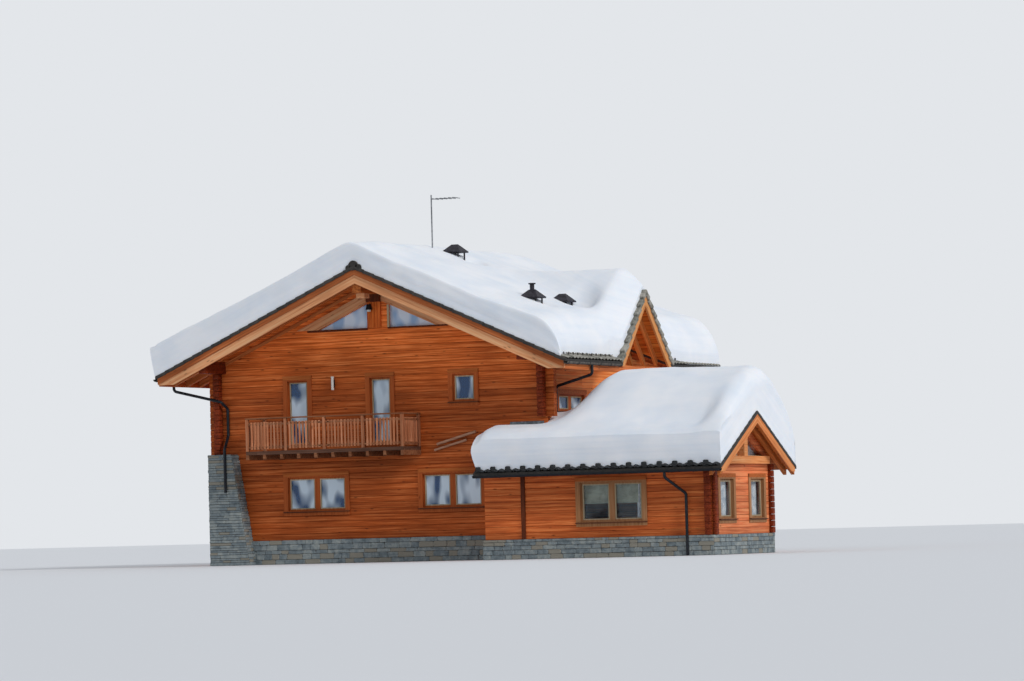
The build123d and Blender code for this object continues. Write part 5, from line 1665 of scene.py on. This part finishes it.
@dataclass
class Windows:
    """Sash beads, sills, heads and what hangs behind the glass of every window."""

    casing: float = 110 * MM
    bead: float = 32 * MM
    bead_depth: float = 46 * MM
    pane_grow: float = 4 * MM
    curtain_gap: float = 130 * MM
    curtain_past: float = 50 * MM
    folds: int = 9
    fold_depth: float = 22 * MM
    pleat_depth: float = 10 * MM
    blind_foot: float = 0.45
    drawn: tuple = ((0.0, 0.42), (0.62, 1.0))
    sill_depth: float = 60 * MM
    sill_rise: float = 95 * MM
    door_height: float = 1.9
    annex_middle: tuple = (8.5, 0.5, 0.0)

    def facing(self, node: str, low: Vector, high: Vector, thin: float) -> tuple[Axis, int]:
        """The axis that a window faces along, and which way is out."""
        flat = Axis.X if high.x - low.x < thin else Axis.Y
        centre = self.annex_middle if "annex" in node else (0.0, MAIN_DEPTH / 2, 0.0)
        middle = (low + high) / 2
        return flat, 1 if middle[flat.value] > centre[flat.value] else -1

    def ring(self, low: Vector, high: Vector, flat: Axis, out: int) -> Piece:
        """A bead round a pane: a sheet inset to a ring and pulled out to its depth."""
        deselect()
        spread = high - low
        turn = (math.pi / 2, 0, 0) if flat is Axis.Y else (0, math.pi / 2, 0)
        bpy.ops.mesh.primitive_plane_add(size=1, location=(low + high) / 2, rotation=turn)
        bpy.context.object.scale = (spread.x, spread.z, 1) if flat is Axis.Y else (spread.z, spread.y, 1)
        piece = settled()
        push = Vector((0, 0, 0))
        push[flat.value] = out * self.bead_depth
        with editing(piece):
            bpy.ops.mesh.inset(thickness=self.bead, depth=0)
            bpy.ops.mesh.delete(type="FACE")
            bpy.ops.mesh.select_all(action="SELECT")
            bpy.ops.mesh.extrude_region_move(TRANSFORM_OT_translate={"value": push})
            bpy.ops.mesh.select_all(action="SELECT")
            bpy.ops.mesh.normals_make_consistent(inside=False)
        return piece

    def curtain(self, low: Vector, high: Vector, flat: Axis, out: int, kind: Covering,
                part: Range = (0.0, 1.0)) -> Piece:
        """A gathered curtain or a pleated blind behind a pane.

        Args:
            low: The pane's lowest corner.
            high: Its highest corner.
            flat: The axis that it faces along.
            out: Which way is out.
            kind: What hangs there.
            part: The start and end of what is covered, as shares of the pane's width.

        Returns:
            The cloth.
        """
        wide = Axis.Y if flat is Axis.X else Axis.X
        blind = kind is Covering.BLIND
        across, down = (2, 34) if blind else (120, 8)
        depth_at = (low[flat.value] + high[flat.value]) / 2 - out * self.curtain_gap
        start = low[wide.value] - self.curtain_past
        span = high[wide.value] + self.curtain_past - start
        foot = low.z + (high.z - low.z) * self.blind_foot if blind else low.z - self.curtain_past
        covered = part[1] - part[0]
        points, faces = [], []
        for row in range(down + 1):
            share = row / down
            for column in range(across + 1):
                turns = self.folds * covered * 2 * math.pi * column / across
                wave = self.fold_depth * math.sin(turns + 0.8 * math.sin(3 * share))
                if blind:
                    wave = (row % 2) * self.pleat_depth
                place = Vector((0, 0, foot + (high.z + self.curtain_past - foot) * share))
                place[wide.value] = start + span * (part[0] + covered * column / across)
                place[flat.value] = depth_at - out * wave
                points.append(place)
        for row in range(down):
            for column in range(across):
                a = row * (across + 1) + column
                faces.append((a, a + 1, a + across + 2, a + across + 1))
        return thicken(new_mesh("curtain", points, faces), 2 * MM)

    def build(self) -> None:
        """Dress every pane, and the sills and heads of the casings."""
        beads: list[Piece] = []
        hung: dict[Covering, list[Piece]] = {kind: [] for kind in Covering}
        grow = Vector((self.pane_grow,) * 3)
        for node in ("front_window_glass", "side_and_back_window_glass", "annex_window_glass"):
            for low, high in loose_boxes(node):
                if "annex" in node and high.z - low.z < 600 * MM:
                    continue
                flat, out = self.facing(node, low, high, 50 * MM)
                middle = (low + high) / 2
                beads.append(self.ring(low - grow, high + grow, flat, out))
                kind, parts = Covering.VOILE, self.drawn
                if "annex" in node and flat is Axis.Y and out < 0:
                    hung[Covering.BLIND].append(self.curtain(low, high, flat, out, Covering.BLIND))
                    parts = ((0.72, 1.0),) if middle.x > 8.7 else ()
                elif middle.z < UPPER_FLOOR and node == "front_window_glass":
                    kind, parts = Covering.LACE, ((0.0, 1.0),)
                for part in parts:
                    hung[kind].append(self.curtain(low, high, flat, out, kind, part))
        dress(join("sash_beads", beads), BEAD_WOOD)
        for kind, finish, smooth in ((Covering.VOILE, VOILE, 60), (Covering.LACE, LACE, 60),
                                     (Covering.BLIND, BLIND_CLOTH, 10)):
            dress(join(kind.value, hung[kind]), finish, smooth)
        self.sills()
        for node, finish in (("front_window_frames", FRAME_WOOD), ("side_and_back_window_frames", FRAME_WOOD),
                             ("annex_window_frames", ANNEX_FRAME_WOOD), ("front_window_glass", WINDOW_GLASS),
                             ("side_and_back_window_glass", WINDOW_GLASS), ("annex_window_glass", ANNEX_GLASS),
                             ("gable_glass", GABLE_GLASS)):
            recolour(node, finish)

    def sills(self) -> None:
        """A sill on the foot of each window's casing, and a board across its head."""
        sills, heads = [], []
        for node in ("front_window_frames", "side_and_back_window_frames", "annex_window_frames"):
            for low, high in loose_boxes(node):
                flat, out = self.facing(node, low, high, 300 * MM)
                face = high[flat.value] if out > 0 else low[flat.value]

                def strip(name: str, inner: float, outer: float, foot: float, top: float, bevel: float) -> Piece:
                    """A level board on the casing, from a depth inside its face to one outside."""
                    first, last = low.copy(), high.copy()
                    first[flat.value], last[flat.value] = sorted((face - out * inner, face + out * outer))
                    first.z, last.z = foot, top
                    return new_box(name, first, last, bevel, 1)

                heads.append(strip("head", 20 * MM, 10 * MM, high.z - self.casing, high.z + 4 * MM, 4 * MM))
                if high.z - low.z <= self.door_height:
                    foot = low.z + self.sill_rise
                    sills.append(strip("sill", 60 * MM, self.sill_depth, foot, foot + 32 * MM, 5 * MM))
        dress(join("window_sills", sills), SILL_WOOD)
        dress(join("window_heads", heads), CASING_WOOD)


@dataclass
class RoofTimber:
    """Finishes of the roof's timber, the boards round the gable lights and the half-round king post."""

    light_foot: float = 7.3
    casings: tuple = ((-2.066, -0.31, 8.073, 340 * MM), (2.066, 0.17, 8.135, 230 * MM))
    frieze_drops: Range = (355 * MM, 475 * MM)
    frieze_end: float = -0.32
    post_radius: float = 140 * MM

    def build(self) -> None:
        """Give the timber its finishes and model the boards."""
        # The eave plates take the dark log-end colour as painted shade under the eaves
        for node, finish in (("rafters", RAFTER_MAIN), ("ridge_purlin", BEAM_Y), ("eave_plates", LOG_ENDS),
                             ("roof_deck", DECK_MAIN), ("lower_barge_boards", BARGE_LIGHT),
                             ("upper_barge_boards", BARGE_DARK), ("cross_gable_deck", DECK_CROSS),
                             ("cross_gable_rafters", RAFTER_CROSS), ("cross_gable_barge", BARGE_CROSS),
                             ("annex_roof_deck", DECK_ANNEX), ("annex_rafters", RAFTER_ANNEX),
                             ("annex_barge_boards", BARGE_ANNEX), ("annex_gable_truss", TRUSS_WOOD),
                             ("ground_floor", CONCRETE), ("annex_floor", CONCRETE), ("upper_floor", FLOOR_BOARDS),
                             ("roof_tiles_left", TILE), ("roof_tiles_right", TILE), ("annex_roof_tiles", TILE),
                             ("cross_gable_tiles", MOSSY_TILE), ("main_gutters", MAIN_GUTTER_METAL),
                             ("annex_gutter", GUTTER_METAL), ("left_downpipe", GUTTER_METAL),
                             ("right_downpipe", GUTTER_METAL), ("annex_downpipe", GUTTER_METAL),
                             ("chimney_shafts", CHIMNEY_RENDER), ("chimney_caps", CAP_METAL),
                             ("antenna", ANTENNA_METAL)):
            recolour(node, finish)
        self.king_post()
        self.gable_boards()
        self.eave_boards()

    def gable_boards(self) -> None:
        """Raked casings over the gable lights, the frieze, the dark sills, a dark block over the post that is
        painted shadow, and the small boards round the post.
        """
        foot, back = self.light_foot, 10 * MM
        boards = []
        for tip, inner, top, wide in self.casings:
            reach = math.copysign(wide / MAIN.slope, tip)
            outline = [(tip, foot), (tip + reach, foot), (inner, top + wide), (inner, top)]
            boards.append(new_prism("raked_casing", outline if tip > 0 else outline[::-1], -45 * MM, back))
        dress(join("gable_casings", boards), BARGE_LIGHT)
        ends = (-HALF_WIDTH, self.frieze_end)
        upper, lower = ([(x, MAIN.height(x) - drop) for x in ends] for drop in self.frieze_drops)
        dress(new_prism("gable_frieze", (*lower, *upper[::-1]), -30 * MM, back), RAFTER_MAIN)
        low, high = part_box("ridge_purlin")
        under = low[2] + 2 * MM
        # Painted shadow: the dark block over the post stands for the purlin's shadow on the wall; the sills share
        # its dark finish
        dark = [new_box("gable_sill", (-2.45, -40 * MM, 7.235), (-0.32, back, foot), 4 * MM, 1),
                new_box("gable_sill", (0.4, -40 * MM, 7.25), (2.5, back, foot), 4 * MM, 1),
                new_box("painted_shadow_block", (-0.3, -140 * MM, 8.1), (0.18, back, under), 6 * MM)]
        dress(join("gable_sills", dark), DARK_POST)
        corbel = new_box("purlin_corbel", (low[0], -1.05, 8.18), (high[0], -0.7, under), 20 * MM)
        dress(corbel, BARGE_LIGHT)
        strip = new_box("light_frame", (0.385, -35 * MM, foot), (0.455, back, 8.0), 3 * MM, 1)
        dress(strip, BEAD_WOOD)

    def eave_boards(self) -> None:
        """A level board under each eave, on the ends of the rafters."""
        foot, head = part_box("rafters")[0][2] - 8 * MM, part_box("roof_deck")[0][2]
        boards = []
        for side in (-1, 1):
            faces = sorted((side * (ROOF_HALF - 110 * MM), side * (ROOF_HALF - 84 * MM)))
            boards.append(new_box("eave_board", (faces[0], ROOF_FRONT + 0.1, foot),
                                  (faces[1], ROOF_BACK - 0.1, head), 4 * MM, 1))
        dress(join("eave_boards", boards), DECK_MAIN)

    def king_post(self) -> None:
        """A half-round log post between the gable lights, with a flat board at its right."""
        (left, front, foot), (right, back, top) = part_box("gable_king_post")
        x, y = left + 160 * MM, front + self.post_radius - 20 * MM
        seam = x + 100 * MM
        post = new_rod("king_post_log", (x, y, foot), (x, y, top), self.post_radius, 24)
        board = new_box("king_post_board", (seam, front + 60 * MM, foot), (right, back, top), 8 * MM)
        block = new_box("king_post_back", (left, front + 80 * MM, foot), (seam, back, top))
        piece = join("king_post_log", [post, board, block])
        dress(piece, BEAM_Z, replaced=("gable_king_post",))


@dataclass
class Fittings:
    """Gutter brackets, lamps, the flashing, the leaning poles and the chimney flues."""

    bracket_pitch: float = 800 * MM
    bracket_radius: float = 80 * MM
    bracket_set: float = 100 * MM
    tube_place: Range = (-1.56, -0.1)
    tube_foot: float = 5.41
    pole_ends: tuple = (((1.94, -0.05, 3.42), (3.05, -0.05, 3.7), 36 * MM),
                        ((2.05, -0.08, 3.6), (3.4, -0.08, 3.95), 40 * MM))
    flue_radius: float = 100 * MM

    def bracket(self) -> Piece:
        """A half ring of flat steel that holds a gutter from below."""
        deselect()
        bpy.ops.mesh.primitive_torus_add(major_radius=self.bracket_radius, minor_radius=7 * MM, major_segments=24,
                                         minor_segments=4, rotation=(math.pi / 2, 0, 0))
        piece = settled()
        with editing(piece):
            bpy.ops.mesh.bisect(plane_co=(0, 0, 10 * MM), plane_no=(0, 0, 1), clear_outer=True, use_fill=True)
        return piece

    def along(self, low: float, high: float) -> list[float]:
        """The places of the brackets of a gutter."""
        count = round((high - low) / self.bracket_pitch)
        run = high - low - 2 * self.bracket_set
        return [low + self.bracket_set + run * number / count for number in range(count + 1)]

    def build(self) -> None:
        """Model the small fittings."""
        places = []
        for low, high in loose_boxes("main_gutters"):
            places += [Matrix.Translation(((low.x + high.x) / 2, y, high.z)) for y in self.along(low.y, high.y)]
        low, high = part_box("annex_gutter")
        middle_y = low[1] + self.bracket_radius + 8 * MM
        places += [Matrix.Translation((x, middle_y, high[2])) @ QUARTER_TURN for x in self.along(low[0], high[0])]
        dress(laid("gutter_brackets", [self.bracket()], places, 41), GUTTER_METAL)
        self.lamps()
        poles = [new_rod("wall_pole", first, last, radius, 10) for first, last, radius in self.pole_ends]
        dress(join("wall_poles", poles), POLE_WOOD)
        strip = new_box("wall_flashing", (4.55, -22 * MM, 4.08), (5.7, 2 * MM, 4.2), 3 * MM, 1)
        dress(strip, FLASHING)
        self.flues()

    def lamps(self) -> None:
        """A tube lamp between the balcony doors and a small lamp on the king post."""
        (left, front, _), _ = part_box("gable_king_post")
        lamp_x, lamp_y = left + 0.17, front - 0.1
        x, y = self.tube_place
        foot = self.tube_foot
        glass = [new_rod("post_lamp_bulb", (lamp_x, lamp_y, 7.79), (lamp_x, lamp_y, 7.87), 62 * MM)]
        for name, low, high, radius in (("lamp_tube", 0.05, 0.37, 42 * MM), ("lamp_top", 0.37, 0.42, 50 * MM),
                                        ("lamp_foot", 0.0, 0.05, 50 * MM)):
            glass.append(new_rod(name, (x, y, foot + low), (x, y, foot + high), radius))
        dress(join("balcony_lamp_tube", glass), LAMP_GLASS)
        holders = [new_box("balcony_lamp_plate", (x - 30 * MM, -0.06, 5.5), (x + 30 * MM, 0.01, 5.74), 5 * MM),
                   new_rod("post_lamp_shade", (lamp_x, lamp_y, 8.03), (lamp_x, lamp_y, 7.85), 70 * MM,
                           tip=110 * MM),
                   new_box("post_lamp_arm", (lamp_x - 15 * MM, lamp_y, 7.99),
                           (lamp_x + 15 * MM, lamp_y + 0.16, 8.03), 3 * MM)]
        dress(join("lamp_holders", holders), LAMP_METAL)

    def flues(self) -> None:
        """A flue liner in each chimney, under its cap."""
        liners = []
        for low, high in loose_boxes("chimney_shafts"):
            x, y = (low.x + high.x) / 2, (low.y + high.y) / 2
            liners.append(new_rod("flue", (x, y, high.z - 0.1), (x, y, high.z + 0.08), self.flue_radius))
        dress(join("chimney_flues", liners), CAP_METAL)


@dataclass
class Studio:
    """The pale floor, the soft lamps and the camera."""

    camera_place: tuple = (64.118, -121.109, 0.90)
    yaw: float = math.radians(26.141)
    pitch: float = math.radians(2.460)
    roll: float = math.radians(-1.502)
    focal_pixels: float = 4402.7
    image_width: int = 1024
    sensor: float = 36.0
    floor_reach: float = 420.0
    backdrop: str = "#E3E6EA"
    sky_light: str = "#F0F4FA"
    world_strength: float = 0.62
    sun_strength: float = 1.5
    sun_spread: float = math.radians(14)
    sun_from: tuple = (0.88, -0.28, 0.55)

    def build(self) -> None:
        """Set the floor, the lights and the camera."""
        self.floor()
        self.world()
        self.sun()
        self.camera()
        bpy.context.scene.view_settings.view_transform = "Standard"

    def floor(self) -> None:
        """A wide level floor at the foot of the house."""
        deselect()
        bpy.ops.mesh.primitive_grid_add(x_subdivisions=4, y_subdivisions=4, size=self.floor_reach * 2,
                                        location=(0, 0, -2 * MM))
        floor = settled()
        floor.name = "studio_floor"
        floor.data.materials.append(PAPER.material())

    def world(self) -> None:
        """An even light from all round, and a pale backdrop behind it."""
        world = bpy.data.worlds.new("studio world")
        bpy.context.scene.world = world
        world.use_nodes = True
        tree = world.node_tree
        shown = tree.nodes["Background"]
        shown.inputs["Color"].default_value = linear(self.backdrop)
        shown.inputs["Strength"].default_value = 1.0
        lighting = add_node(tree, "ShaderNodeBackground", {"Color": linear(self.sky_light),
                                                           "Strength": self.world_strength})
        path = add_node(tree, "ShaderNodeLightPath")
        seen = maths(tree, "MAXIMUM", path.outputs["Is Camera Ray"], path.outputs["Is Glossy Ray"])
        seen = maths(tree, "MAXIMUM", seen, path.outputs["Is Transmission Ray"])
        mix = add_node(tree, "ShaderNodeMixShader", {0: seen, 1: lighting.outputs[0], 2: shown.outputs[0]})
        tree.links.new(mix.outputs[0], tree.nodes["World Output"].inputs["Surface"])

    def sun(self) -> None:
        """One large soft sun from the front right."""
        deselect()
        aim = Vector(self.sun_from).normalized()
        bpy.ops.object.light_add(type="SUN", location=aim * 60, rotation=aim.to_track_quat("Z", "Y").to_euler())
        sun = bpy.context.object
        sun.name = "soft_key_lamp"
        sun.data.energy, sun.data.angle = self.sun_strength, self.sun_spread

    def camera(self) -> None:
        """A long lens from the front right, a little under the level of the floors."""
        forward = Vector((-math.sin(self.yaw) * math.cos(self.pitch), math.cos(self.yaw) * math.cos(self.pitch),
                          math.sin(self.pitch)))
        side = Vector((math.cos(self.yaw), math.sin(self.yaw), 0))
        rise = side.cross(forward)
        right = side * math.cos(self.roll) + rise * math.sin(self.roll)
        up = rise * math.cos(self.roll) - side * math.sin(self.roll)
        deselect()
        bpy.ops.object.camera_add(location=self.camera_place)
        camera = bpy.context.object
        camera.name = "photo_camera"
        camera.rotation_euler = Matrix((right, up, -forward)).transposed().to_euler()
        camera.data.sensor_width = self.sensor
        camera.data.lens = self.focal_pixels * self.sensor / self.image_width
        camera.data.clip_start, camera.data.clip_end = 1.0, 2000.0
        bpy.context.scene.camera = camera


def write_sizes() -> None:
    """Bring the view layer up to date."""
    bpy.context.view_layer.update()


def main() -> None:
    """Dress the chalet, then light it and set the camera."""
    logging.basicConfig(level=logging.INFO, format="%(name)s %(message)s")
    for part in (LogWalls(), LogEnds(), StoneWork(), RoofTimber(), RoofEdges(), Balcony(), Windows(), Fittings(),
                 MainSnow(), AnnexSnow(), Studio()):
        LOG.info("building %s", type(part).__name__)
        part.build()
    write_sizes()


if __name__ == "__main__":
    main()
